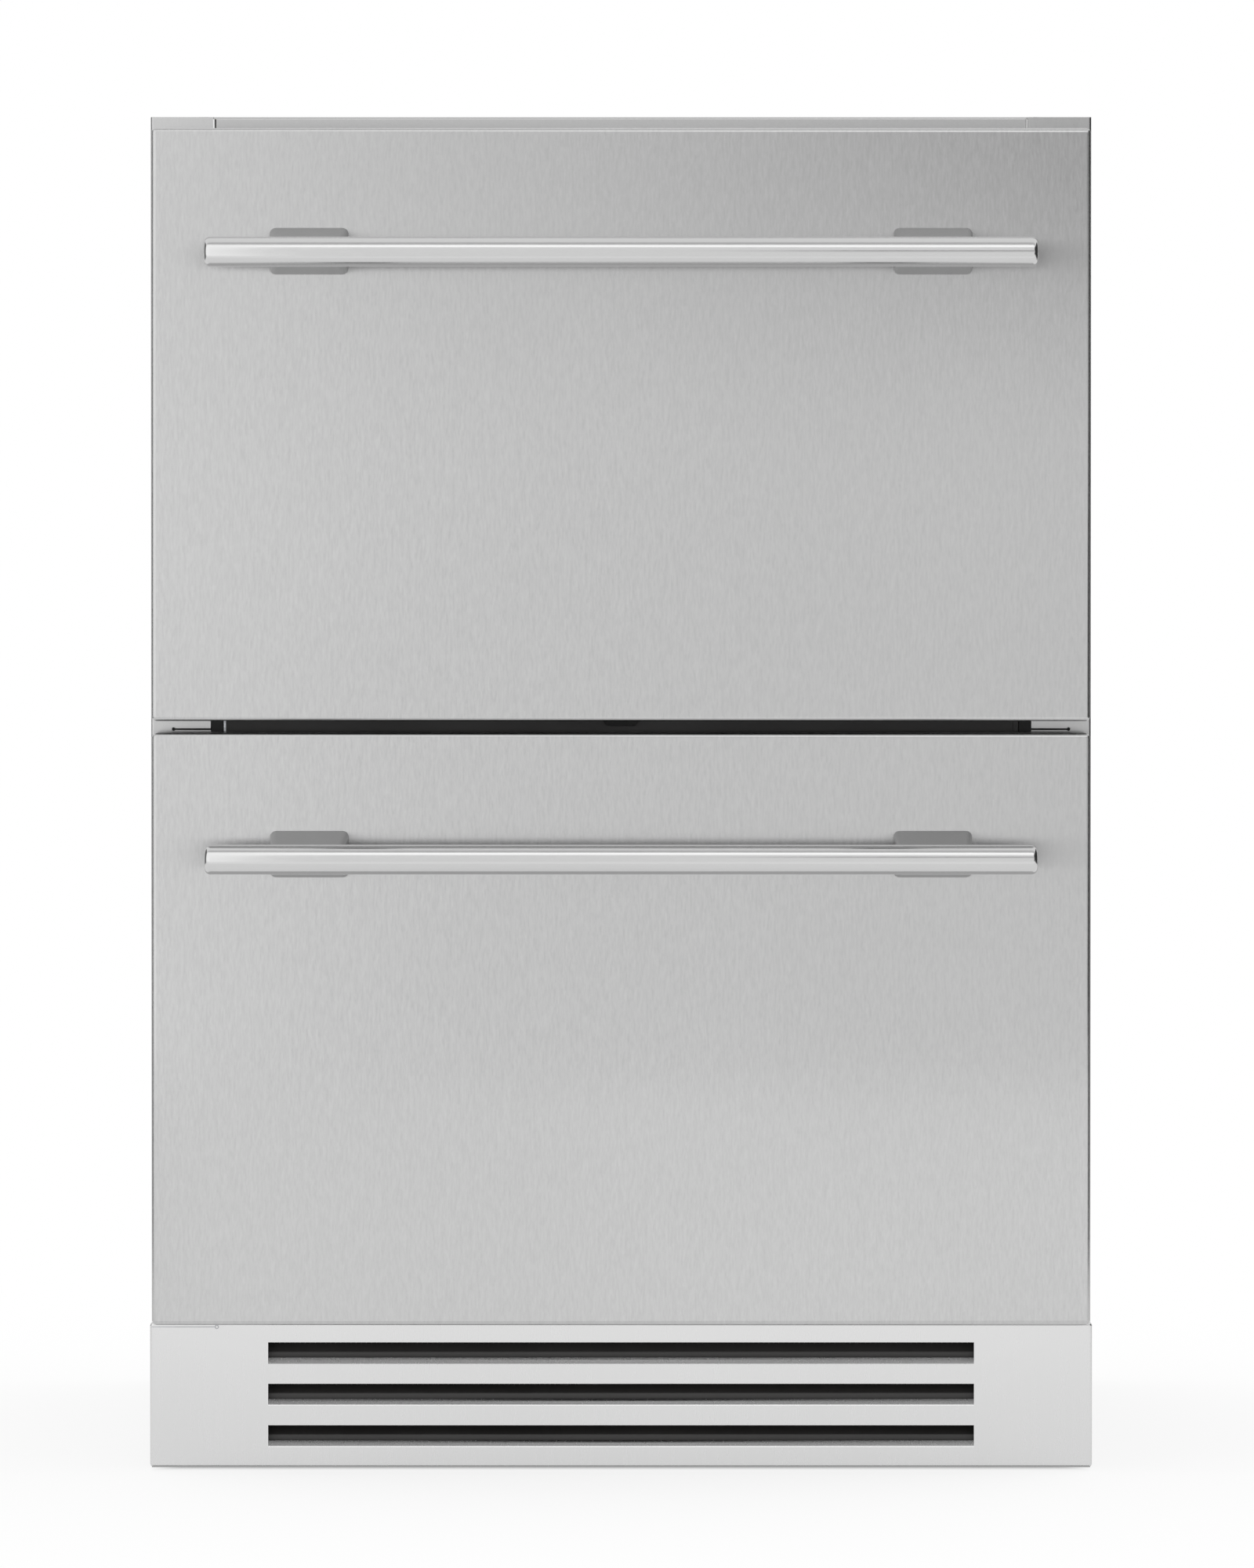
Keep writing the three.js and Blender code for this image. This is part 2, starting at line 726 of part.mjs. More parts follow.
function basePan() {
  const front = sheet + seat;
  const back = cabinetDepth - sheet - seat;
  const wallTop = panTop + panWall;
  const tray = box(-shellInner, shellInner, front, back, panBottom, wallTop);
  const room = box(
    -shellInner + panThickness, shellInner - panThickness,
    front + panThickness, back - panThickness, panTop, wallTop + panWall,
  );
  let pan = cut(tray, room);
  for (const x of [-footX, footX]) {
    for (const y of footYs) {
      pan = join(pan, rod("z", footBossRadius, x, y, panBottom, panTop + footBossHeight, 16));
      const hole = studRadius + studClearance;
      pan = cut(pan, rod("z", hole, x, y, panBottom - 1, panTop + 2 * footBossHeight, 14));
    }
  }
  for (const x of [-1, 1]) {
    for (const y of [-1, 1]) {
      pan = join(pan, rod(
        "z", compressorBossRadius, compressorX + (x * compressorBossSpacingX) / 2,
        bayMiddle + (y * compressorBossSpacingY) / 2, panBottom, panTop + compressorBossRise, 12,
      ));
    }
  }
  return pan;
}

/** A levelling foot: glide, hexagon and threaded stud, about its own axis. */
function levellingFoot() {
  const shoulder = panBottom - seat;
  const glide = turned([
    [0, 0], [footPadRadius - footPadEdge, 0], [footPadRadius, footPadEdge],
    [footPadRadius, footPadHeight / 2], [footPadRadius - 2 * footPadEdge, footPadHeight],
    [0, footPadHeight],
  ], 20);
  const hexagon = rod("z", footHexRadius, 0, 0, footPadHeight - 1, shoulder, 6);
  const stud = turned([
    [0, footPadHeight], [studRadius, footPadHeight], [studRadius, studTop - 1],
    [studRadius - 1, studTop], [0, studTop],
  ], 14);
  return join(glide, hexagon, stud);
}

/** A hermetic compressor: a domed can on a foot plate, with its two tube stubs. */
function compressor() {
  const plateBottom = panTop + compressorBossRise + seat;
  const plateTop = plateBottom + compressorPlate;
  const canBottom = plateTop - 1;
  const canTop = canBottom + compressorHeight;
  const dome = compressorRadius * 0.45;
  const edge = compressorCanEdge;
  const profile = [
    [0, canBottom],
    ...arc(compressorRadius - edge, canBottom + edge, edge, -Math.PI / 2, 0, 3),
    ...arc(compressorRadius - dome, canTop - dome, dome, 0, Math.PI / 2, 5),
    [0, canTop],
  ];
  const seamRadius = compressorRadius + compressorSeamProud;
  const seamBottom = canBottom + compressorSeamRise;
  const seamTop = seamBottom + compressorSeamHeight;
  const seam = rod("z", seamRadius, 0, 0, seamBottom, seamTop, 32);
  const can = join(turned(profile, 32), seam);
  const plateX = compressorBossSpacingX / 2 + compressorPlateMargin;
  const plateY = compressorBossSpacingY / 2 + compressorPlateMargin;
  const plateOutline = roundedRectangle(-plateX, plateX, -plateY, plateY, compressorPlateMargin - 2);
  const plate = prism("z", plateOutline, plateBottom, plateTop);
  const coverBottom = canBottom + terminalCoverRise;
  const terminalCover = box(
    -compressorRadius - terminalCoverProud, -compressorRadius + terminalCoverProud,
    -terminalCoverWidth / 2, terminalCoverWidth / 2, coverBottom, coverBottom + terminalCoverHeight,
  );
  return join(plate, can, terminalCover);
}

/** Fins standing on a back plate, as one comb-shaped extrusion along Z. */
function finBlock(width, front, depth, bottom, height, pitch, plateThickness) {
  const back = front + depth;
  const outline = [[-width / 2, back], [-width / 2, front]];
  const count = Math.round(width / pitch);
  const step = (width - finSheet) / count;
  for (let i = 0; i <= count; i++) {
    const x = -width / 2 + i * step;
    if (i > 0) outline.push([x, back - plateThickness], [x, front]);
    outline.push([x + finSheet, front]);
    if (i < count) outline.push([x + finSheet, back - plateThickness]);
  }
  outline.push([width / 2, back]);
  return prism("z", outline, bottom, bottom + height);
}

/** A return bend of a coil's tube, standing out of the end of its fin block. */
function returnBend(side, x, y, z, rise) {
  const reach = rise / 2 + tubeRadius;
  return bentTube([
    [side * (x - 2), y, z], [side * (x + reach), y, z],
    [side * (x + reach), y, z + rise], [side * (x - 2), y, z + rise],
  ], tubeRadius);
}

function condenserCoil() {
  const bottom = panTop + seat;
  const half = condenserWidth / 2;
  const y = condenserFront + condenserDepth / 2;
  const rise = condenserHeight / 4;
  const fins = finBlock(
    condenserWidth, condenserFront, condenserDepth, bottom, condenserHeight, condenserFinPitch,
    panThickness,
  );
  const dischargeX = half + dischargeRun;
  const discharge = bentTube([
    [half - 2, y, bottom + 3.5 * rise],
    [dischargeX, y, bottom + 3.5 * rise],
    [dischargeX, bayMiddle, bottom + 3.5 * rise],
    [dischargeX, bayMiddle, dischargeZ],
    [compressorX + compressorRadius + seat, bayMiddle, dischargeZ],
  ], tubeRadius);
  return join(
    fins,
    returnBend(1, half, y, bottom + rise / 2, rise),
    returnBend(-1, half, y, bottom + 1.5 * rise, rise),
    discharge,
  );
}

function fanBlades(axisLength, hubRadius, tipRadius, bore, count) {
  const hub = cut(
    turned([
      [0, 0], [hubRadius, 0], [hubRadius, axisLength - 2], [hubRadius - 2, axisLength],
      [0, axisLength],
    ]),
    rod("z", bore, 0, 0, -1, axisLength - 4, 16),
  );
  const chord = hubRadius * 1.25;
  let rotor = hub;
  for (let i = 0; i < count; i++) {
    const geometry = new THREE.BoxGeometry(tipRadius - hubRadius + 3, chord, 1.4);
    geometry.rotateX(THREE.MathUtils.degToRad(32));
    geometry.translate((tipRadius + hubRadius - 3) / 2, 0, axisLength / 2);
    geometry.rotateZ((2 * Math.PI * i) / count);
    rotor = join(rotor, solidOf(geometry));
  }
  const room = turned([[0, 0.5], [tipRadius, 0.5], [tipRadius, axisLength], [0, axisLength]], 40);
  return rotor.intersect(room);
}

/** A square axial-fan frame; the motor stands on struts at its back. */
function condenserFanFrame() {
  const half = fanFrameSize / 2;
  const ring = condenserFanRadius + fanRingClearance;
  const outline = roundedRectangle(-half, half, -half, half, 5);
  const strutFront = fanFrameDepth - fanStrutDepth;
  const strut = fanStrutWidth / 2;
  const reach = ring + strut;
  const frame = cut(
    prism("y", outline, 0, fanFrameDepth),
    rod("y", ring, 0, 0, -1, fanFrameDepth + 1, 40),
  );
  return join(
    frame,
    box(-reach, reach, strutFront, fanFrameDepth, -strut, strut),
    box(-strut, strut, strutFront, fanFrameDepth, -reach, reach),
    rod("y", fanHubRadius, 0, 0, fanHubLength + 2, fanFrameDepth, 24),
    rod("y", fanShaftRadius, 0, 0, fanShaftStart, fanFrameDepth, 12),
  );
}

function condensateTray() {
  const outer = roundedRectangle(0, trayWidth, 0, trayDepth, trayCorner);
  const inner = roundedRectangle(
    trayWall, trayWidth - trayWall, trayWall, trayDepth - trayWall, trayCorner - trayWall,
  );
  return cut(
    prism("z", outer, 0, trayHeight),
    prism("z", inner, trayWall, trayHeight + trayWall),
  );
}

function controlBox() {
  const proud = controlBoxLidProud;
  const body = prism(
    "y", roundedRectangle(0, controlBoxHeight, 0, controlBoxWidth, 2 * proud), 0, controlBoxDepth,
  );
  const lidOutline = roundedRectangle(
    -proud, controlBoxHeight + proud, -proud, controlBoxWidth + proud, 2 * proud,
  );
  return join(body, prism("y", lidOutline, controlBoxDepth - controlBoxLid, controlBoxDepth));
}

// ---------------------------------------------------------------- toe grille

const slotBottoms = Array.from(
  { length: slotCount }, (_, i) => grilleBottom + lowestSlotRise + i * slotPitch,
);

/** A plate with round front edges and corners: bevelled at its front, square at its back. */
function softFrontedPlate(width, bottom, top, front, back, edge) {
  const outline = roundedRectangle(bottom + edge, top - edge, edge - width / 2, width / 2 - edge, 0.6, 2);
  const bevelled = prism("y", outline, front + edge, back + edge, {
    bevelEnabled: true, bevelThickness: edge, bevelSize: edge, bevelSegments: 4,
  });
  return cut(bevelled, box(-width, width, back, back + 3 * edge, bottom - edge, top + edge));
}

/** A shallow pan of sheet, open at the back. */
function frontPan(width, bottom, top, front, back, edge) {
  const room = box(
    sheet - width / 2, width / 2 - sheet, front + sheet, back + sheet, bottom + sheet, top - sheet,
  );
  return cut(softFrontedPlate(width, bottom, top, front, back, edge), room);
}

/** The toe grille: a pan with long slots, each with a lip that turns inwards and up. */
function toeGrille() {
  const face = -grilleProud;
  const middle = face + sheet / 2;
  const half = slotWidth / 2;
  let grille = frontPan(cabinetWidth, grilleBottom, grilleTop, face, -seat, grilleEdgeRadius);
  for (const z of slotBottoms) {
    const line = [[middle, z - 2 * sheet], [middle, z], [middle + lipRise, z + lipRise]];
    const lip = prism("x", bentSheet(line, sheet), -half, half);
    const slot = box(-half, half, face - sheet, face + 2 * sheet, z, z + slotHeight);
    grille = join(cut(grille, slot), lip);
  }
  return grille;
}

/** Black blades behind the slots, on end plates that stand on the back of the grille's face. */
function grilleLouvres() {
  const front = louvreSetback - grilleProud;
  const back = front + louvreDepth + louvreSheet;
  const plateFront = sheet + seat - grilleProud;
  const half = slotWidth / 2;
  const bottom = slotBottoms[0];
  const top = slotBottoms[slotCount - 1] + slotHeight;
  const ends = [-half - louvreEnd, half + seat].map((start) =>
    box(start, start + louvreEnd - seat, plateFront, back, bottom, top));
  const blades = slotBottoms.map((z) => {
    const foot = front + louvreSheet;
    const crest = z + slotHeight - louvreSlit;
    const line = [[foot, z], [foot, z + slotHeight / 2], [front + louvreDepth, crest]];
    return prism("x", bentSheet(line, louvreSheet), -half - louvreEnd / 2, half + louvreEnd / 2);
  });
  return join(...ends, ...blades);
}

// ---------------------------------------------------------------- evaporator and interior

function evaporatorCoil() {
  const half = coilWidth / 2;
  const front = coilBack - coilDepth;
  const y = suctionTubeY;
  const rise = coilHeight / 6;
  const fins = finBlock(coilWidth, front, coilDepth, coilBottom, coilHeight, coilFinPitch, panThickness);
  const canTop = panTop + compressorBossRise + compressorHeight;
  const bend = bayTop - suctionBendDrop;
  const stubX = compressorX + suctionStubX;
  const suction = bentTube([
    [half - 2, y, coilBottom + rise / 2],
    [suctionTubeX, y, coilBottom + rise / 2],
    [suctionTubeX, y, bend],
    [stubX, bayMiddle, bend],
    [stubX, bayMiddle, canTop + compressorPlate],
  ], suctionTubeRadius);
  return join(
    fins, suction,
    returnBend(-1, half, y, coilBottom + rise / 2, rise),
    returnBend(1, half, y, coilBottom + 1.5 * rise, rise),
    returnBend(-1, half, y, coilBottom + 2.5 * rise, rise),
    returnBend(1, half, y, coilBottom + 3.5 * rise, rise),
  );
}

/** The panel over the evaporator, with the fan's guarded hole and the return-air slots. */
function evaporatorCover() {
  const half = linerHalf - seat;
  const back = coverSetback + sheet;
  const plate = box(-half, half, coverSetback, back, stepTop + seat, ceiling - seat);
  const z = evaporatorFanZ;
  const reach = 2 * sheet;
  const hole = rod("y", fanHoleRadius, z, 0, coverSetback - reach, back + reach, 32);
  const guard = guardRings.map((radius) => cut(
    rod("y", radius + guardBar, z, 0, coverSetback, back, 24),
    rod("y", radius, z, 0, coverSetback - reach, back + reach, 24),
  ));
  const barHalf = guardBar / 2;
  const bars = [
    box(-fanHoleRadius, fanHoleRadius, coverSetback, back, z - barHalf, z + barHalf),
    box(-barHalf, barHalf, coverSetback, back, z - fanHoleRadius, z + fanHoleRadius),
  ];
  const slots = [];
  const slotHalf = returnSlotLength / 2;
  for (const column of [-1, 0, 1]) {
    const x = column * (returnSlotLength + returnSlotLand);
    for (let row = 0; row < returnSlotRows; row++) {
      const bottom = stepTop + returnSlotRise + row * returnSlotPitch;
      slots.push(box(
        x - slotHalf, x + slotHalf, coverSetback - reach, back + reach,
        bottom, bottom + returnSlotHeight,
      ));
    }
  }
  return join(cut(plate, hole, ...slots), ...guard, ...bars);
}

/** The evaporator fan's motor on a four-armed bracket that stands on the cover. */
function evaporatorFanMotor() {
  const z = evaporatorFanZ;
  const armFront = motorFront + bracketSetback;
  const armBack = armFront + bracketSheet;
  const reach = bracketArm;
  const half = bracketHalf;
  const post = (x, rise) => box(
    x - half, x + half, coverSetback + sheet + seat, armBack, z + rise - half, z + rise + half,
  );
  return join(
    rod("y", motorRadius, z, 0, motorFront, motorFront + motorLength, 28),
    rod("y", fanShaftRadius, z, 0, rotorFront + rotorLength / 3, motorFront + 1, 12),
    box(-reach, reach, armFront, armBack, z - half, z + half),
    box(-half, half, armFront, armBack, z - reach, z + reach),
    post(-reach, 0), post(reach, 0), post(0, -reach), post(0, reach),
  );
}

/** The housing under the ceiling that the thermostat knob sits on. */
function thermostatHousing() {
  const top = ceiling - seat;
  const bottom = top - panelDrop;
  const outline = [
    [panelSetback, top], [panelSetback + panelDepth, top],
    [panelSetback + panelDepth - panelSlope, bottom], [panelSetback + panelEdge, bottom],
    [panelSetback, bottom + panelEdge],
  ];
  const housing = prism("x", outline, -panelWidth / 2, panelWidth / 2);
  const bore = knobStemRadius + plungerClearance;
  return cut(housing, rod("y", bore, knobZ, 0, 0, panelSetback + knobLength, 16));
}

/** A knob about +Z, its stem pointing down and its pointer rib towards +X. */
function thermostatKnob() {
  const grip = turned([
    [0, 0], [knobRadius, 0], [knobRadius - 0.6, knobLength - 1.5],
    [knobRadius - 2, knobLength], [0, knobLength],
  ]);
  const stem = rod("z", knobStemRadius, 0, 0, -knobLength + 2, 1, 16);
  const pointer = box(1, knobRadius - 2, -0.8, 0.8, knobLength - 1, knobLength + 0.8);
  return join(grip, stem, pointer);
}

/** A light strip under the ceiling with a round-bellied lens. */
function lightBar() {
  const top = ceiling - seat;
  const y = lightSetback + lightWidth / 2;
  const belly = arc(y, top - lightDrop / 2, lightWidth / 2, Math.PI, 2 * Math.PI, 10)
    .map(([a, b]) => [a, top - lightDrop / 2 + ((b - top + lightDrop / 2) * lightDrop) / lightWidth]);
  const outline = [[y - lightWidth / 2, top], ...belly, [y + lightWidth / 2, top]];
  return prism("x", outline, -lightLength / 2, lightLength / 2);
}

// ---------------------------------------------------------------- drawers

function drawerSkin() {
  return frontPan(frontWidth, 0, frontHeight, frontFace, frontBack, frontEdgeRadius);
}

const panelInset = sheet + seat;
const innerPanelFront = frontBack - innerPanelThickness;

function drawerInsulation() {
  const half = frontWidth / 2 - panelInset;
  return box(
    -half, half, frontFace + sheet + seat, innerPanelFront - seat,
    panelInset, frontHeight - panelInset,
  );
}

function drawerInnerPanel() {
  const half = frontWidth / 2 - panelInset;
  return box(-half, half, innerPanelFront, frontBack, panelInset, frontHeight - panelInset);
}

/** A soft ring whose lip narrows towards the cabinet. */
function drawerGasket() {
  const ring = (inset, from, to) => cut(
    prism("y", roundedRectangle(
      inset, frontHeight - inset, inset - frontWidth / 2, frontWidth / 2 - inset, gasketCorner,
    ), from, to),
    box(
      gasketInset + gasketWidth - frontWidth / 2 - (inset - gasketInset),
      frontWidth / 2 - gasketInset - gasketWidth + (inset - gasketInset),
      from - 1, to + 1,
      2 * gasketInset + gasketWidth - inset,
      frontHeight - 2 * gasketInset - gasketWidth + inset,
    ),
  );
  const foot = frontBack + seat;
  const flange = ring(gasketInset - gasketFlange, foot, foot + gasketFlange);
  return join(ring(gasketInset, foot, -seat), flange);
}

/** A sheet bin, open at the top, with a rim that turns outwards over the slides. */
function drawerBin(back, rise, drop) {
  const half = linerHalf - binSideGap;
  const front = binFront;
  const top = frontHeight - drop;
  const tub = cut(
    prism("z", roundedRectangle(-half, half, front, back, binCorner, 3), rise, top),
    prism("z", roundedRectangle(
      -half + binWall, half - binWall, front + binWall, back - binWall, binCorner - binWall, 3,
    ), rise + binWall, top + binWall),
  );
  const rimHalf = half + binRim;
  const rimBottom = top - binRimThickness;
  const overlap = binWall / 3;
  const rim = cut(
    prism("z", roundedRectangle(
      -rimHalf, rimHalf, slideSetback, back, binCorner - binWall, 3,
    ), rimBottom, top),
    box(-half + overlap, half - overlap, 0, back - overlap, rimBottom - sheet, top + sheet),
  );
  return join(tub, rim);
}

/** A tubular handle with rounded ends, along X, about its own axis. */
function handleBar() {
  const half = barLength / 2;
  const profile = [
    [0, -half],
    ...arc(barRadius - barEndRadius, -half + barEndRadius, barEndRadius, -Math.PI / 2, 0, 3),
    ...arc(barRadius - barEndRadius, half - barEndRadius, barEndRadius, 0, Math.PI / 2, 3),
    [0, half],
  ];
  const points = profile.map(([radius, height]) => new THREE.Vector2(radius, height));
  return solidOf(new THREE.LatheGeometry(points, 32).rotateZ(Math.PI / 2));
}

/** A standoff about the bar's axis: it narrows from the drawer front to the bar it seats. */
function handleStandoff() {
  const outline = (width, height, rise) => roundedRectangle(
    rise - height / 2, rise + height / 2, -width / 2, width / 2, standoffCorner,
  );
  const block = taperedBlock(
    outline(standoffEndWidth, standoffEndHeight, 0),
    outline(standoffWidth, standoffHeight, standoffRise),
    standoffSetback, handleReach - seat,
  );
  return cut(block, rod("x", barRadius + seat, 0, 0, -standoffWidth, standoffWidth, 32));
}

// ---------------------------------------------------------------- slides

/** A channel of [z, x] pairs between its web's outer face and the edges of its legs. */
function channelOutline(height, webX, openX) {
  const half = height / 2 - slideSheet / 2;
  const web = webX + (Math.sign(openX - webX) * slideSheet) / 2;
  return bentSheet([[half, openX], [half, web], [-half, web], [-half, openX]], slideSheet);
}

/** The three members of a right-hand slide: the cabinet's channel, the middle one inside it and,
 * turned the other way inside that one, the drawer's. */
function slideMembers(length) {
  const step = slideSheet + slideRunning;
  const wallX = linerHalf - seat;
  const binX = linerHalf - binSideGap + seat;
  const outlines = [
    channelOutline(slideHeight, wallX, binX + step),
    channelOutline(slideHeight - 2 * step, wallX - step, binX + step),
    channelOutline(slideHeight - 4 * step, binX, wallX - 2 * step - slideSheet),
  ];
  return outlines.map((outline) => prism("y", outline, slideSetback, slideSetback + length));
}

// ---------------------------------------------------------------- assembly

function cabinetShell() {
  return groupOf(
    piece("left_side_panel", sidePanel(-1), materials.cabinetSteel),
    piece("right_side_panel", sidePanel(1), materials.cabinetSteel),
    piece("top_panel", topPanel(), materials.cabinetSteel),
    piece("machine_deck", machineDeck(), materials.galvanized),
    piece("back_panel", backPanel(), materials.galvanized),
    piece("cord_gland", cordGland(), materials.rubber),
    piece("base_pan", basePan(), materials.galvanized),
  );
}

function insulatedBox() {
  return groupOf(
    piece("cabinet_insulation", cabinetInsulation(), materials.foam),
    piece("inner_liner", innerLiner(), materials.linerSteel),
    piece("breaker_frame", breakerFrame(), materials.black),
    piece("mullion", mullion(), materials.charcoal),
    piece("drawer_switch_housing", drawerSwitchHousing(), materials.black),
    piece("drawer_switch_plunger", drawerSwitchPlunger(), materials.greyPlastic),
  );
}

function feet() {
  const names = [["front_left", "back_left"], ["front_right", "back_right"]];
  const group = groupOf();
  [-footX, footX].forEach((x, i) => footYs.forEach((y, j) => {
    const foot = piece(`${names[i][j]}_foot`, levellingFoot(), materials.galvanized);
    foot.position.set(x, y, 0);
    group.add(foot);
  }));
  return group;
}

function machinery() {
  const can = piece("compressor", compressor(), materials.blackEnamel);
  can.position.set(compressorX, bayMiddle, 0);

  const frame = piece("condenser_fan_frame", condenserFanFrame(), materials.black);
  const blades = piece(
    "condenser_fan",
    fanBlades(fanHubLength, fanHubRadius, condenserFanRadius, fanShaftRadius + fanShaftClearance, 5),
    materials.black,
  );
  blades.rotation.x = Math.PI / 2;
  blades.position.y = fanHubLength + 1;
  const fan = groupOf(frame, blades);
  fan.position.set(condenserFanX, condenserFanY, panTop + seat + fanFrameSize / 2);

  const tray = piece("condensate_tray", condensateTray(), materials.black);
  tray.position.set(trayInset - halfWidth, bayFront + traySetback, panTop + seat);

  const electronics = piece("control_box", controlBox(), materials.greyPlastic);
  const boxBottom = bayTop - controlBoxHeight - controlBoxDrop;
  electronics.position.set(controlBoxInset - halfWidth, bayFront + sheet + seat, boxBottom);

  return groupOf(
    piece("condenser_coil", condenserCoil(), materials.aluminium),
    can, fan, tray, electronics,
    piece("toe_grille", toeGrille(), materials.brushedSteel),
    piece("grille_louvres", grilleLouvres(), materials.black),
  );
}

function coldCompartment() {
  const rotor = piece(
    "evaporator_fan",
    fanBlades(rotorLength, fanHubRadius, evaporatorFanRadius, fanShaftRadius + fanShaftClearance, 5),
    materials.black,
  );
  rotor.rotation.x = Math.PI / 2;
  rotor.position.set(0, rotorFront + rotorLength, evaporatorFanZ);

  const knob = piece("thermostat_knob", thermostatKnob(), materials.black);
  knob.rotation.x = Math.PI / 2;
  knob.position.set(0, panelSetback - seat, knobZ);

  return groupOf(
    piece("evaporator_coil", evaporatorCoil(), materials.aluminium),
    piece("evaporator_cover", evaporatorCover(), materials.linerSteel),
    piece("evaporator_fan_motor", evaporatorFanMotor(), materials.greyPlastic),
    rotor, knob,
    piece("thermostat_housing", thermostatHousing(), materials.greyPlastic),
    piece("light_bar", lightBar(), materials.lens),
  );
}

/** A whole drawer with its slides, about the middle of its front's lower edge. */
function drawer(level, { binBack, binRise, binDrop, handleDrop }) {
  const bar = piece(`${level}_handle_bar`, handleBar(), materials.handleSteel);
  const standoffs = ["left", "right"].map((side, i) => {
    const standoff = piece(`${level}_${side}_standoff`, handleStandoff(), materials.handleSteel);
    standoff.position.x = (i - 0.5) * standoffSpacing;
    return standoff;
  });
  const handle = groupOf(bar, ...standoffs);
  handle.position.set(0, barY, frontHeight - handleDrop);

  const slides = groupOf();
  const length = binBack - slideSetback;
  const kinds = ["cabinet_slide", "middle_slide", "drawer_slide"];
  slideMembers(length).forEach((member, i) => {
    slides.add(
      piece(`${level}_right_${kinds[i]}`, member, materials.slideSteel),
      piece(`${level}_left_${kinds[i]}`, mirrorX(member), materials.slideSteel),
    );
  });
  slides.position.z = binRise + slideRise;

  return groupOf(
    piece(`${level}_drawer_skin`, drawerSkin(), materials.brushedSteel),
    piece(`${level}_drawer_insulation`, drawerInsulation(), materials.foam),
    piece(`${level}_drawer_inner_panel`, drawerInnerPanel(), materials.innerPanel),
    piece(`${level}_drawer_gasket`, drawerGasket(), materials.rubber),
    piece(`${level}_drawer_bin`, drawerBin(binBack, binRise, binDrop), materials.linerSteel),
    handle, slides,
  );
}

const upperDrawer = drawer("upper", {
  binBack: upperBinBack,
  binRise: upperBinRise,
  binDrop: upperBinDrop,
  handleDrop: upperHandleDrop,
});
upperDrawer.position.z = upperFrontBottom;
const lowerDrawer = drawer("lower", {
  binBack: lowerBinBack,
  binRise: lowerBinRise,
  binDrop: lowerBinDrop,
  handleDrop: lowerHandleDrop,
});
lowerDrawer.position.z = lowerFrontBottom;

const refrigerator = groupOf(
  cabinetShell(), insulatedBox(), feet(), machinery(), coldCompartment(), upperDrawer, lowerDrawer,
);
refrigerator.position.y = -(cabinetDepth + overallFront) / 2;

export default groupOf(refrigerator);
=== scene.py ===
"""The looks of an undercounter drawer refrigerator: brushed steel fronts, bar handles, slotted
toe grille, and all that shows behind them when a drawer is out or the cabinet is turned round.

Lengths of the pieces are millimetres, with y = 0 at the front of the cabinet's flanges. The scales
of patterns are per metre, and the floor, lamp, boards and camera stand in metres in the frame.
"""

import json
import math

import bmesh
import bpy
from mathutils import Matrix, Vector


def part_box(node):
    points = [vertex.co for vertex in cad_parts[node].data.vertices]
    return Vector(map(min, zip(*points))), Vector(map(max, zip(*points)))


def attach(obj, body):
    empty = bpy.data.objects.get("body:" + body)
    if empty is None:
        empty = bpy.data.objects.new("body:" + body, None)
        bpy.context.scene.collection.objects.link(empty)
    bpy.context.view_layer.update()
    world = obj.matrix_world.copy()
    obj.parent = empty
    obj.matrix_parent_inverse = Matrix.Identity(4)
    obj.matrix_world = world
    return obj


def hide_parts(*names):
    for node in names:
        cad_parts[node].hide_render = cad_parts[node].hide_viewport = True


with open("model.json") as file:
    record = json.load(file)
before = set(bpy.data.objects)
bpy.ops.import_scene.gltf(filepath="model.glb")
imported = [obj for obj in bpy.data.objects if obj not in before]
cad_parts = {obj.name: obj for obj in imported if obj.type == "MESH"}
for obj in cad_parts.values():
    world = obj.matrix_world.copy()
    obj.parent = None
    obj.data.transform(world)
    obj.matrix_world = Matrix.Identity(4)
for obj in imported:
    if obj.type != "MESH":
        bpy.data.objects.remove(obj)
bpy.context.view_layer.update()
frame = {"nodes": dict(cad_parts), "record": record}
nodes = frame["nodes"]
slot_of = {part["node"]: part["material_slot"] for part in frame["record"]["subparts"]}
scene = bpy.context.scene
MM = 0.001
FLANGE_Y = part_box("left_side_panel")[0].y


def at(x, y, z):
    """A point of the part, in metres, from millimetres."""
    return Vector((x * MM, FLANGE_Y + y * MM, z * MM))


def extent(node):
    """Lowest and highest x, y and z of a node in millimetres, as two vectors."""
    low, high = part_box(node)
    shift = Vector((0, FLANGE_Y, 0))
    return (low - shift) / MM, (high - shift) / MM


# ---------------------------------------------------------------- node helpers


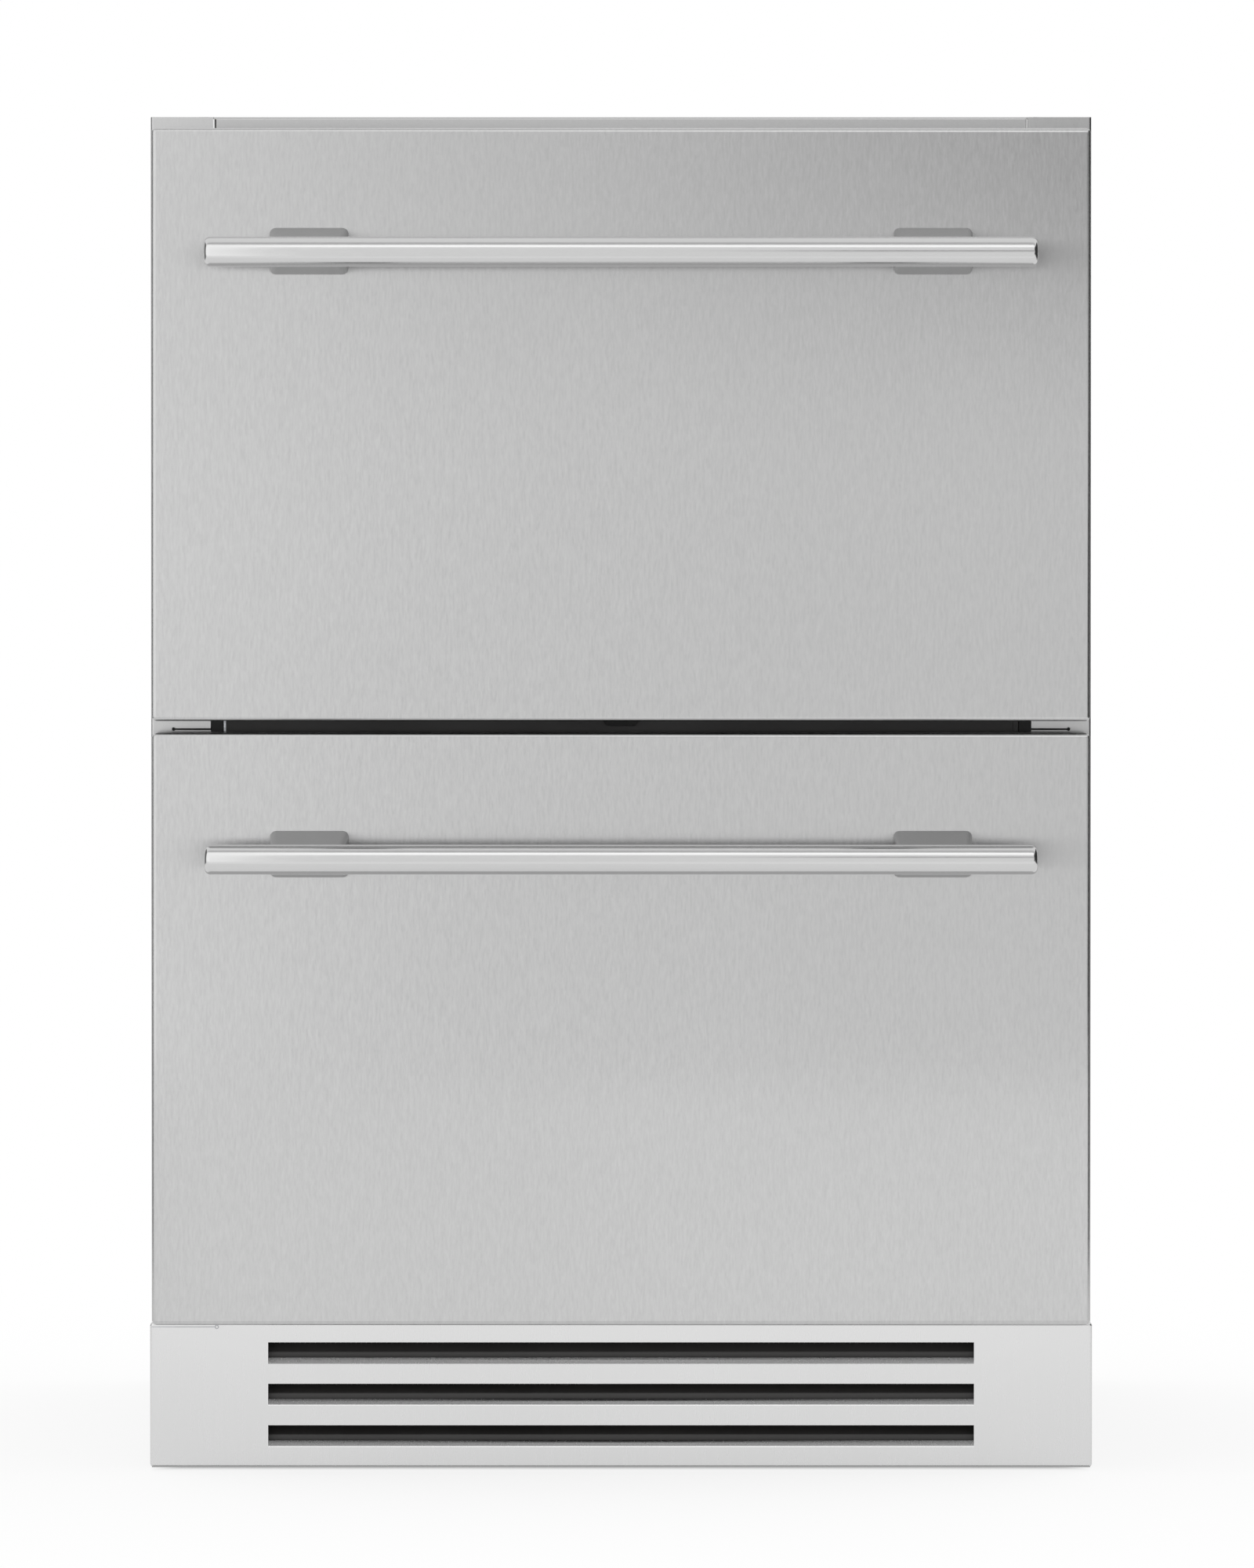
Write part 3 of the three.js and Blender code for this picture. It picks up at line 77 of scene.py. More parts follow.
class Shader:
    """A material under construction: short calls that each add one node."""

    def __init__(self, name):
        self.material = bpy.data.materials.new(name)
        self.material.use_nodes = True
        self.tree = self.material.node_tree
        self.bsdf = self.tree.nodes["Principled BSDF"]
        self.coordinates = self.add("ShaderNodeTexCoord").outputs["Object"]

    def add(self, kind, **settings):
        node = self.tree.nodes.new(kind)
        for key, value in settings.items():
            setattr(node, key, value)
        return node

    def link(self, source, target):
        self.tree.links.new(source, target)

    def put(self, value, socket):
        """Sets a socket to a constant or links it to another socket."""
        if isinstance(value, bpy.types.NodeSocket):
            self.link(value, socket)
        else:
            socket.default_value = value

    def scaled(self, scale):
        node = self.add("ShaderNodeMapping")
        self.link(self.coordinates, node.inputs["Vector"])
        node.inputs["Scale"].default_value = scale
        return node.outputs["Vector"]

    def noise(self, scale, detail=3.0, roughness=0.55):
        """Noise with a scale per metre: one number, or three for a stretched pattern."""
        node = self.add("ShaderNodeTexNoise")
        self.link(self.scaled(scale if isinstance(scale, tuple) else (scale,) * 3), node.inputs["Vector"])
        node.inputs["Scale"].default_value = 1.0
        node.inputs["Detail"].default_value = detail
        node.inputs["Roughness"].default_value = roughness
        return node.outputs["Fac"]

    def cells(self, scale, feature="F1", output="Distance"):
        node = self.add("ShaderNodeTexVoronoi", feature=feature)
        self.link(self.scaled((scale,) * 3), node.inputs["Vector"])
        node.inputs["Scale"].default_value = 1.0
        return node.outputs[output]

    def edges(self, radius=0.0012):
        """1 along the sharp edges of a surface, 0 on its flats."""
        soft = self.add("ShaderNodeBevel", samples=4)
        soft.inputs["Radius"].default_value = radius
        geometry = self.add("ShaderNodeNewGeometry")
        dot = self.add("ShaderNodeVectorMath", operation="DOT_PRODUCT")
        self.link(soft.outputs["Normal"], dot.inputs[0])
        self.link(geometry.outputs["Normal"], dot.inputs[1])
        return self.ranged(dot.outputs["Value"], 0.98, 0.8)

    def math(self, operation, a, b=0.0, clamp=False):
        node = self.add("ShaderNodeMath", operation=operation, use_clamp=clamp)
        self.put(a, node.inputs[0])
        self.put(b, node.inputs[1])
        return node.outputs[0]

    def ranged(self, value, low, high, to_low=0.0, to_high=1.0):
        node = self.add("ShaderNodeMapRange")
        self.put(value, node.inputs["Value"])
        node.inputs["From Min"].default_value = low
        node.inputs["From Max"].default_value = high
        node.inputs["To Min"].default_value = to_low
        node.inputs["To Max"].default_value = to_high
        return node.outputs["Result"]

    def mix(self, factor, a, b, blend="MIX"):
        node = self.add("ShaderNodeMix", data_type="RGBA", blend_type=blend)
        self.put(factor, node.inputs["Factor"])
        self.put(a, node.inputs[6])
        self.put(b, node.inputs[7])
        return node.outputs[2]

    def combine(self, value):
        node = self.add("ShaderNodeCombineColor")
        for socket in node.inputs[:3]:
            self.put(value, socket)
        return node.outputs[0]

    def bump(self, height, distance, strength=1.0):
        node = self.add("ShaderNodeBump")
        self.put(height, node.inputs["Height"])
        node.inputs["Distance"].default_value = distance
        node.inputs["Strength"].default_value = strength
        return node.outputs["Normal"]

    def finish(self, color, roughness, metallic=0.0, normal=None, **constants):
        self.put(color, self.bsdf.inputs["Base Color"])
        self.put(roughness, self.bsdf.inputs["Roughness"])
        self.bsdf.inputs["Metallic"].default_value = metallic
        if normal is not None:
            self.link(normal, self.bsdf.inputs["Normal"])
        for key, value in constants.items():
            self.bsdf.inputs[key.replace("_", " ")].default_value = value
        return self.material


def grey(value, tint=0.0):
    """A near-grey colour: tint above 0 leans to blue, below 0 to yellow."""
    return (value * (1 - tint), value * (1 - tint * 0.3), value * (1 + tint), 1.0)


# ---------------------------------------------------------------- materials

GRAIN = 1150.0  # brush marks per metre across the grain
GRAIN_ALONG = 240.0  # and along it
LONGER = 5  # how much longer the toe grille's marks are
UPRIGHT = (GRAIN, GRAIN, GRAIN_ALONG)
UPRIGHT_LONG = (GRAIN, GRAIN, GRAIN_ALONG / LONGER)
FRONT_TO_BACK = (GRAIN, GRAIN_ALONG, GRAIN)
SIDEWAYS = (GRAIN_ALONG, GRAIN, GRAIN)


def brushed(name, value, roughness, anisotropy, grain, around="Z", contrast=0.03, tint=0.0):
    """Brushed sheet metal. grain is the pattern's scale per metre along X, Y and Z, and around the
    axis that the grain runs along."""
    s = Shader(name)
    fine = s.noise(grain, 3.0, 0.7)
    broad = s.noise(tuple(g * 0.45 for g in grain), 2.0, 0.6)
    soft = s.noise(3.1, 2.0, 0.5)
    streak = s.math("ADD", s.math("MULTIPLY", fine, 0.5), s.math("MULTIPLY", broad, 0.5))
    light = s.ranged(streak, 0.34, 0.66, 1 - contrast, 1 + contrast)
    light = s.math("MULTIPLY", light, s.ranged(soft, 0.3, 0.7, 0.985, 1.015))
    light = s.math("ADD", light, s.math("MULTIPLY", s.edges(), 0.1))
    color = s.mix(1.0, grey(value, tint), s.combine(light), "MULTIPLY")
    rough = s.ranged(streak, 0.3, 0.7, roughness - 0.03, roughness + 0.03)
    tangent = s.add("ShaderNodeTangent", direction_type="RADIAL", axis=around)
    s.link(tangent.outputs["Tangent"], s.bsdf.inputs["Tangent"])
    return s.finish(color, rough, 1.0, s.bump(streak, 0.00002, 0.3), Anisotropic=anisotropy)


def galvanized(name, value=0.5):
    """Zinc-coated sheet with its spangle."""
    s = Shader(name)
    to_grey = s.add("ShaderNodeRGBToBW")
    s.link(s.cells(90.0, output="Color"), to_grey.inputs[0])
    patch = to_grey.outputs[0]
    dust = s.noise(14.0, 4.0, 0.6)
    color = s.mix(s.ranged(patch, 0.2, 0.8), grey(value * 0.86, 0.02), grey(value * 1.1, 0.03))
    color = s.mix(s.ranged(dust, 0.45, 0.75, 0.0, 0.35), color, grey(value * 0.8, -0.02))
    color = s.mix(s.math("MULTIPLY", s.edges(), 0.5), color, grey(value * 1.4))
    rough = s.math("ADD", s.ranged(patch, 0.2, 0.8, 0.34, 0.48), s.ranged(dust, 0.3, 0.7, 0, 0.08))
    return s.finish(color, rough, 1.0, s.bump(patch, 0.00003, 0.3))


def plastic(name, color, roughness=0.5, stipple=900.0, depth=0.00004, dust=0.0):
    """Moulded plastic with a fine texture, uneven sheen, paler edges and an optional veil of dust."""
    s = Shader(name)
    grain = s.noise(stipple, 2.0, 0.6)
    cloud = s.noise(9.0, 3.0, 0.55)
    lighter = tuple(min(1.0, c * 1.12 + 0.004) for c in color[:3]) + (1.0,)
    darker = tuple(c * 0.9 for c in color[:3]) + (1.0,)
    worn = tuple(min(1.0, c * 1.3 + 0.02) for c in color[:3]) + (1.0,)
    tone = s.mix(s.ranged(cloud, 0.3, 0.7), darker, lighter)
    tone = s.mix(s.math("MULTIPLY", s.edges(), 0.5), tone, worn)
    if dust:
        specks = s.ranged(s.noise(700.0, 3.0, 0.7), 0.58, 0.74)
        veil = s.ranged(s.noise(22.0, 4.0, 0.6), 0.35, 0.75)
        amount = s.math("MULTIPLY", s.math("ADD", specks, s.math("MULTIPLY", veil, 0.5)), dust)
        tone = s.mix(amount, tone, (0.42, 0.41, 0.39, 1.0))
    rough = s.math(
        "ADD", s.ranged(cloud, 0.3, 0.7, roughness - 0.05, roughness + 0.05),
        s.ranged(grain, 0.3, 0.7, -0.03, 0.03),
    )
    return s.finish(tone, rough, 0.0, s.bump(grain, depth, 0.6))


def zinc_plated(name):
    s = Shader(name)
    scratch = s.noise((60.0, 1200.0, 1200.0), 3.0, 0.6)
    cloud = s.noise(25.0, 3.0, 0.5)
    color = s.mix(s.ranged(cloud, 0.3, 0.7), grey(0.52, 0.05), grey(0.6, -0.015))
    color = s.mix(s.math("MULTIPLY", s.edges(), 0.5), color, grey(0.75))
    return s.finish(color, s.ranged(scratch, 0.3, 0.7, 0.2, 0.36), 1.0, s.bump(scratch, 0.00002, 0.3))


def fin_metal(name):
    s = Shader(name)
    cloud = s.noise(30.0, 4.0, 0.6)
    dust = s.ranged(s.noise(500.0, 3.0, 0.7), 0.5, 0.8, 0.0, 0.35)
    color = s.mix(s.ranged(cloud, 0.3, 0.7), grey(0.52), grey(0.62, 0.01))
    color = s.mix(dust, color, (0.36, 0.34, 0.31, 1.0))
    return s.finish(color, s.ranged(cloud, 0.3, 0.7, 0.3, 0.46), 1.0, s.bump(cloud, 0.00002, 0.4))


def copper(name):
    s = Shader(name)
    cloud = s.noise(60.0, 4.0, 0.6)
    color = s.mix(s.ranged(cloud, 0.35, 0.7), (0.62, 0.27, 0.15, 1), (0.34, 0.14, 0.08, 1))
    return s.finish(color, s.ranged(cloud, 0.3, 0.7, 0.22, 0.42), 1.0, s.bump(cloud, 0.00003, 0.3))


def enamel(name, value, roughness=0.28):
    """Thick paint with orange peel and dust, rubbed pale along the edges."""
    s = Shader(name)
    peel = s.noise(420.0, 2.0, 0.5)
    cloud = s.noise(18.0, 4.0, 0.6)
    color = s.mix(s.ranged(cloud, 0.3, 0.7), grey(value * 0.8), grey(value * 1.3))
    color = s.mix(s.ranged(s.noise(90.0, 5.0, 0.7), 0.55, 0.8, 0.0, 0.3), color, grey(0.29, -0.03))
    color = s.mix(s.math("MULTIPLY", s.edges(), 0.4), color, grey(0.12))
    rough = s.ranged(cloud, 0.3, 0.7, roughness - 0.06, roughness + 0.1)
    return s.finish(color, rough, 0.0, s.bump(peel, 0.00005, 0.35), Coat_Weight=0.25)


def rubber(name, value=0.035):
    s = Shader(name)
    grain = s.noise(1400.0, 2.0, 0.6)
    bloom = s.noise(26.0, 4.0, 0.65)
    color = s.mix(s.ranged(bloom, 0.4, 0.75), grey(value), grey(value * 1.9))
    rough = s.ranged(bloom, 0.3, 0.7, 0.58, 0.78)
    return s.finish(color, rough, 0.0, s.bump(grain, 0.00004, 0.5))


def foam(name):
    s = Shader(name)
    cloud = s.noise(20.0, 4.0, 0.6)
    color = s.mix(s.ranged(cloud, 0.3, 0.7), (0.72, 0.6, 0.32, 1), (0.84, 0.75, 0.48, 1))
    return s.finish(color, 0.92, 0.0, s.bump(s.cells(700.0), 0.0004, 0.6))


def diffuser(name):
    s = Shader(name)
    ribs = s.add("ShaderNodeTexWave", wave_type="BANDS", bands_direction="X")
    s.link(s.scaled((330.0,) * 3), ribs.inputs["Vector"])
    ribs.inputs["Scale"].default_value = 1.0
    color = s.mix(s.ranged(s.noise(20.0, 2.0), 0.3, 0.7), grey(0.86, 0.02), grey(0.91))
    normal = s.bump(ribs.outputs["Fac"], 0.0003, 0.4)
    return s.finish(color, 0.3, 0.0, normal, Subsurface_Weight=0.3)


looks = {
    "front_steel": brushed("front_steel", 0.525, 0.23, 1.0, UPRIGHT, contrast=0.06),
    "grille_steel": brushed("grille_steel", 0.68, 0.26, 0.9, UPRIGHT_LONG, contrast=0.01),
    "handle_steel": brushed("handle_steel", 0.6, 0.16, 0.3, SIDEWAYS, "X", contrast=0.012),
    # painted shade: a darkened copy of the steel, for the standoffs in the shade of the handle bars and for
    # the grille's hem
    "shade_painted_steel": brushed("shade_painted_steel", 0.34, 0.34, 0.2, UPRIGHT, contrast=0.02),
    "cabinet_steel": brushed("cabinet_steel", 0.52, 0.3, 0.85, UPRIGHT),
    "top_steel": brushed("top_steel", 0.52, 0.34, 0.7, FRONT_TO_BACK, "Y"),
    "galvanized": galvanized("galvanized"),
    "liner_steel": brushed("liner_steel", 0.56, 0.34, 0.7, UPRIGHT, tint=0.01),
    "slide_steel": zinc_plated("slide_steel"),
    "coil_aluminium": fin_metal("coil_aluminium"),
    "copper": copper("copper"),
    "foam": foam("foam"),
    "inner_plastic": plastic("inner_plastic", (0.66, 0.665, 0.67), 0.42, 700.0, 0.00006),
    "gasket": rubber("gasket"),
    "breaker": plastic("breaker", (0.008, 0.008, 0.0085), 0.42, 1000.0),
    "mullion_plastic": plastic("mullion_plastic", (0.06, 0.057, 0.056), 0.36, 900.0),
    "black_plastic": plastic("black_plastic", (0.014, 0.0135, 0.0135), 0.5, 800.0, dust=0.1),
    "louvre_plastic": plastic("louvre_plastic", (0.032, 0.03, 0.029), 0.48, 800.0),
    "black_enamel": enamel("black_enamel", 0.012),
    "grey_plastic": plastic("grey_plastic", (0.32, 0.33, 0.34), 0.5, 800.0),
    "lens": diffuser("lens"),
    "grommet": rubber("grommet", 0.02),
}


# ---------------------------------------------------------------- shape helpers


def soften(obj, width, segments=2, angle=32.0):
    """Rounds the true edges of a faceted solid and keeps its flats flat in smooth shading."""
    custom = obj.data.attributes.get("custom_normal")
    if custom is not None:
        obj.data.attributes.remove(custom)
    obj.data.polygons.foreach_set("use_smooth", [True] * len(obj.data.polygons))
    weld = obj.modifiers.new("weld", "WELD")
    weld.merge_threshold = 1e-6
    bevel = obj.modifiers.new("edges", "BEVEL")
    bevel.width = width * MM
    bevel.segments = segments
    bevel.limit_method = "ANGLE"
    bevel.angle_limit = math.radians(angle)
    bevel.use_clamp_overlap = True
    flats = obj.modifiers.new("flats", "WEIGHTED_NORMAL")
    flats.mode = "FACE_AREA"
    flats.weight = 100


def piece(name, bm, body, look, replaced=(), edge=0.0, crease=35.0):
    """A mesh from bmesh as a named piece that rides on a body."""
    bmesh.ops.recalc_face_normals(bm, faces=bm.faces)
    mesh = bpy.data.meshes.new(name)
    bm.to_mesh(mesh)
    bm.free()
    mesh.polygons.foreach_set("use_smooth", [True] * len(mesh.polygons))
    mesh.materials.append(looks[look])
    obj = bpy.data.objects.new(name, mesh)
    scene.collection.objects.link(obj)
    if edge:
        soften(obj, edge)
    else:
        mesh.set_sharp_from_angle(angle=math.radians(crease))
    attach(obj, body)
    if replaced:
        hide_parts(*replaced)
    return obj


def bridge(bm, first, second):
    """Faces between two rings of vertices; a ring of one vertex is a pole."""
    count = max(len(first), len(second))
    for i in range(count):
        j = (i + 1) % count
        corners = [
            first[i % len(first)], first[j % len(first)],
            second[j % len(second)], second[i % len(second)],
        ]
        bm.faces.new(list(dict.fromkeys(corners)))


def facing(axis, origin):
    """A matrix whose +Z points along a direction from an origin in metres."""
    turn = Vector(axis).to_track_quat("Z", "Y").to_matrix().to_4x4()
    return Matrix.Translation(origin) @ turn


def add_turned(bm, profile, matrix, segments=32, lobes=None):
    """Revolves [radius, height] pairs in millimetres about a matrix's +Z. lobes, where given, is a
    function of the ring's number and the segment's that scales the radius."""
    rings = []
    for k, (radius, height) in enumerate(profile):
        ring = []
        for i in range(segments if radius else 1):
            angle = 2 * math.pi * i / segments
            reach = radius * (lobes(k, i) if lobes else 1.0)
            local = Vector((reach * math.cos(angle), reach * math.sin(angle), height)) * MM
            ring.append(bm.verts.new(matrix @ local))
        rings.append(ring)
    for first, second in zip(rings, rings[1:]):
        bridge(bm, first, second)


def add_box(bm, low, high):
    corners = [
        bm.verts.new((x, y, z))
        for x in (low.x, high.x) for y in (low.y, high.y) for z in (low.z, high.z)
    ]
    for face in ((0, 1, 3, 2), (4, 6, 7, 5), (0, 4, 5, 1), (2, 3, 7, 6), (0, 2, 6, 4), (1, 5, 7, 3)):
        bm.faces.new([corners[i] for i in face])


def rounded(points, bend, steps=6):
    """A polyline with its corners turned into arcs, in the points' own unit."""
    line = [points[0]]
    for before, corner, after in zip(points, points[1:], points[2:]):
        back, ahead = (before - corner).normalized(), (after - corner).normalized()
        half = back.angle(ahead) / 2
        reach = min(bend / math.tan(half), (before - corner).length / 2, (after - corner).length / 2)
        start, end = corner + back * reach, corner + ahead * reach
        for i in range(steps + 1):
            t = i / steps
            line.append(start.lerp(corner, t).lerp(corner.lerp(end, t), t))
    line.append(points[-1])
    return line


def add_tube(bm, points, radius, sides=12, bend=2.4):
    """A round tube along points in metres; bend is its bends' radius in tube radii."""
    line = rounded(points, radius * MM * bend)
    heading = (line[1] - line[0]).normalized()
    normal = heading.orthogonal().normalized()
    rings = []
    for i, point in enumerate(line):
        ahead = line[min(i + 1, len(line) - 1)] - line[max(i - 1, 0)]
        turn = heading.rotation_difference(ahead.normalized())
        normal = turn @ normal
        heading = ahead.normalized()
        side = heading.cross(normal)
        rings.append([
            bm.verts.new(point + (normal * math.cos(a) + side * math.sin(a)) * radius * MM)
            for a in (2 * math.pi * k / sides for k in range(sides))
        ])
    for first, second in zip(rings, rings[1:]):
        bridge(bm, first, second)
    bm.faces.new(rings[0])
    bm.faces.new(rings[-1])


def add_sheet(bm, grid, thickness):
    """A closed sheet of a thickness in millimetres round a grid of points in metres."""
    rows, columns = len(grid), len(grid[0])

    def normal(i, j):
        down = grid[min(i + 1, rows - 1)][j] - grid[max(i - 1, 0)][j]
        across = grid[i][min(j + 1, columns - 1)] - grid[i][max(j - 1, 0)]
        return down.cross(across).normalized()

    sides = []
    for sign in (0.5, -0.5):
        sides.append([
            [bm.verts.new(grid[i][j] + normal(i, j) * sign * thickness * MM) for j in range(columns)]
            for i in range(rows)
        ])
    for side in sides:
        for i in range(rows - 1):
            for j in range(columns - 1):
                bm.faces.new((side[i][j], side[i + 1][j], side[i + 1][j + 1], side[i][j + 1]))
    rim = [(0, j) for j in range(columns)] + [(i, columns - 1) for i in range(1, rows)]
    rim += [(rows - 1, j) for j in range(columns - 2, -1, -1)] + [(i, 0) for i in range(rows - 2, 0, -1)]
    for (i, j), (k, l) in zip(rim, rim[1:] + rim[:1]):
        bm.faces.new((sides[0][i][j], sides[0][k][l], sides[1][k][l], sides[1][i][j]))


def add_screw(bm, place, axis, radius=3.6):
    """A pan-head screw with a cross recess, standing on a place and facing along an axis."""
    profile = [
        (radius, 0), (radius, 0.14 * radius), (0.84 * radius, 0.32 * radius),
        (0.55 * radius, 0.4 * radius), (0.5 * radius, 0.4 * radius), (0.4 * radius, 0.1 * radius),
        (0, 0.06 * radius),
    ]

    def lobes(ring, segment):
        recess = ring >= len(profile) - 3
        return 0.34 if recess and segment % 4 else 1.0

    add_turned(bm, profile, facing(axis, place), 16, lobes)


# ---------------------------------------------------------------- the solids of the frame

own_looks = {
    "top_panel": "top_steel", "toe_grille": "grille_steel", "grille_louvres": "louvre_plastic",
}
for name, obj in nodes.items():
    slot = slot_of[name]
    # the standoffs take the darkened steel that paints the bars' shade on them
    look = "shade_painted_steel" if name.endswith("_standoff") else own_looks.get(name, slot)
    obj.data.materials.clear()
    obj.data.materials.append(looks[look])
    soften(obj, 0.25 if slot in ("front_steel", "cabinet_steel") else 0.15)


# ---------------------------------------------------------------- handles


def handle_bar(level):
    """A ground steel tube whose end plugs are slightly domed."""
    low, high = extent(f"{level}_handle_bar")
    radius = (high.z - low.z) / 2
    half = (high.x - low.x) / 2
    edge, dome = 3.6, 0.5
    end = []
    for i in range(7):
        angle = math.radians(90 * i / 6)
        end.append((radius - edge + edge * math.sin(angle), half - dome - edge + edge * math.cos(angle)))
    end = [(0, half), ((radius - edge) * 0.6, half - 0.3 * dome)] + end
    profile = end + [(r, -h) for r, h in reversed(end)]
    bm = bmesh.new()
    middle = at(0, (low.y + high.y) / 2, (low.z + high.z) / 2)
    add_turned(bm, profile, facing((1, 0, 0), middle), 96)
    piece(f"{level}_tube_handle", bm, f"{level}_drawer", "handle_steel", [f"{level}_handle_bar"])


# ---------------------------------------------------------------- drawer fittings

GASKET_PROFILE = [  # inwards from the foot's outer edge, and out of the door
    (0, 0), (0, 1.6), (4, 2.1), (6.4, 3.1), (3.2, 4.1), (2.4, 5.4), (3.2, 6.9), (5, 7.4), (11, 7.1),
    (17, 7.4), (18.8, 6.8), (19.6, 5.4), (18.6, 4.1), (15.6, 3.1), (18, 2.1), (22, 1.6), (22, 0),
]


def ring_path(x0, x1, z0, z1, radius, steps=6):
    """Points of a round-cornered rectangle with their outward normals, as (x, z, nx, nz)."""
    path = []
    corners = [(x1, z0, -90), (x1, z1, 0), (x0, z1, 90), (x0, z0, 180)]
    for x, z, start in corners:
        cx = x - math.copysign(radius, x)
        cz = z + (radius if z == z0 else -radius)
        for i in range(steps + 1):
            angle = math.radians(start + 90 * i / steps)
            nx, nz = math.cos(angle), math.sin(angle)
            path.append((cx + radius * nx, cz + radius * nz, nx, nz))
    return path


def drawer_gasket(level):
    """A magnetic door gasket: foot, bellows and sealing face, swept round the drawer front."""
    low, high = extent(f"{level}_drawer_gasket")
    corner = 8.0
    bm = bmesh.new()
    rings = []
    for x, z, nx, nz in ring_path(low.x, high.x, low.z, high.z, corner):
        rings.append([
            bm.verts.new(at(x - nx * inward, low.y + out, z - nz * inward))
            for inward, out in GASKET_PROFILE
        ])
    for first, second in zip(rings, rings[1:] + rings[:1]):
        bridge(bm, first, second)
    piece(f"{level}_bellows_gasket", bm, f"{level}_drawer", "gasket", [f"{level}_drawer_gasket"], crease=50)


def drawer_screws(level):
    """Screws in the inner panel beside the bin, and in the webs of the drawer's slides."""
    low, high = extent(f"{level}_drawer_inner_panel")
    beside = extent(f"{level}_drawer_bin")[1].x + 6
    top_row = high.z - 40
    bm = bmesh.new()
    for x in (-beside, beside):
        for z in (low.z + 46, (low.z + high.z) / 2, high.z - 60):
            add_screw(bm, at(x, high.y, z), (0, 1, 0))
    for x in (-150, 0, 150):
        add_screw(bm, at(x, high.y, top_row), (0, 1, 0))
    piece(f"{level}_panel_screws", bm, f"{level}_drawer", "slide_steel")
    for side, sign in (("left", -1), ("right", 1)):
        low, high = extent(f"{level}_{side}_drawer_slide")
        web = min(abs(low.x), abs(high.x)) + 1.4
        count, inset, head = 5, 18, 3.2
        bm = bmesh.new()
        for i in range(count):
            y = low.y + inset + (high.y - low.y - 2 * inset) * i / (count - 1)
            add_screw(bm, at(sign * web, y, (low.z + high.z) / 2), (sign, 0, 0), head)
        piece(f"{level}_{side}_slide_screws", bm, f"{level}_drawer", "slide_steel")


for level in ("upper", "lower"):
    handle_bar(level)
    drawer_gasket(level)
    drawer_screws(level)


# ---------------------------------------------------------------- cabinet front

GAP_MIDDLE = (extent("upper_drawer_skin")[0].z + extent("lower_drawer_skin")[1].z) / 2
FLANGE_INNER = extent("breaker_frame")[1].x + 0.3
CABINET_TOP = extent("right_side_panel")[1].z
SLIT_Z = GAP_MIDDLE - 2.7  # the relief slits in the flanges
SEAM_X = FLANGE_INNER - 3.0  # middle of the seams at the ends of the top rail
RAIL_BOTTOM = extent("top_panel")[0].z


def seam_shade_strips():
    """Dark strips in the gap behind the flanges, as painted shade: they show through the flanges' slits and
    seams as the dark of the gap.
    """
    front, back = 1.22, 1.42
    bm = bmesh.new()
    for sign in (-1, 1):
        ends = sorted((sign * (FLANGE_INNER - 6), sign * (FLANGE_INNER + 30)))
        add_box(bm, at(ends[0], front, SLIT_Z - 5), at(ends[1], back, SLIT_Z + 5))
        ends = sorted((sign * (FLANGE_INNER - 7), sign * (FLANGE_INNER + 3)))
        add_box(bm, at(ends[0], front, RAIL_BOTTOM), at(ends[1], back, CABINET_TOP - 1.6))
    piece("seam_shade_strips", bm, "cabinet", "breaker")


def seam_lips():
    """The folded lips of sheet metal that fill the seams at the ends of the top rail."""
    bottom, top = RAIL_BOTTOM + 0.6, CABINET_TOP - 1.4
    half, front, bulge, steps = 0.7, 0.1, 0.2, 8
    for side, middle, lean in (("left", -SEAM_X - 0.55, 0.12), ("right", SEAM_X + 0.1, -0.1)):
        bm = bmesh.new()
        rings = []
        for z, across in ((bottom, lean), (top, -lean)):
            ring = []
            for i in range(steps + 1):
                angle = math.pi * i / steps
                ring.append(bm.verts.new(at(
                    middle + across - half * math.cos(angle), front - bulge * math.sin(angle), z,
                )))
            rings.append(ring)
        bridge(bm, *rings)
        for ring in rings:
            bm.faces.new(ring)
        piece(f"{side}_seam_lip", bm, "cabinet", "handle_steel")


def mullion_ends():
    """The clips that hold the mullion at its ends, seen in the gap between the drawers: the left one in
    zinc-plated steel, the right one in the mullion's dark plastic.
    """
    bottom = extent("lower_drawer_gasket")[1].z + 0.8
    top = extent("upper_drawer_gasket")[0].z - 0.8
    half = extent("mullion")[1].x
    for side, sign, width, look in (("left", -1, 1.7, "slide_steel"), ("right", 1, 3.4, "mullion_plastic")):
        bm = bmesh.new()
        ends = sorted((sign * half, sign * (half - width)))
        add_box(bm, at(ends[0], -0.9, bottom), at(ends[1], -0.05, top))
        piece(f"{side}_mullion_clip", bm, "cabinet", look, edge=0.35)


def grille_corner_line():
    """The fine joint line in the grille's upper left corner, with its round relief."""
    low = extent("toe_grille")[0]
    line_z, half_height, length = 91.9, 0.3, 42.0
    bm = bmesh.new()
    add_box(
        bm, at(low.x + 1, low.y - 0.03, line_z - half_height),
        at(low.x + length, low.y + 0.1, line_z + half_height),
    )
    middle = at(low.x + length + 1, low.y + 0.1, line_z)
    add_turned(
        bm, [(0.7, 0), (0.7, 0.13), (1.1, 0.16), (1.4, 0.12), (1.4, 0)], facing((0, -1, 0), middle), 24,
    )
    piece("grille_corner_line", bm, "cabinet", "galvanized")


def grille_shade_hem():
    """A folded hem along the grille's lower edge, in the darkened steel that paints the shade along that
    edge.
    """
    low, high = extent("toe_grille")
    bm = bmesh.new()
    add_box(bm, at(low.x + 1.2, low.y - 0.1, low.z + 0.02), at(high.x - 1.2, low.y + 0.2, low.z + 0.9))
    piece("grille_shade_hem", bm, "cabinet", "shade_painted_steel", edge=0.08)


seam_shade_strips()
seam_lips()
mullion_ends()
grille_corner_line()
grille_shade_hem()


# ---------------------------------------------------------------- coils and fans


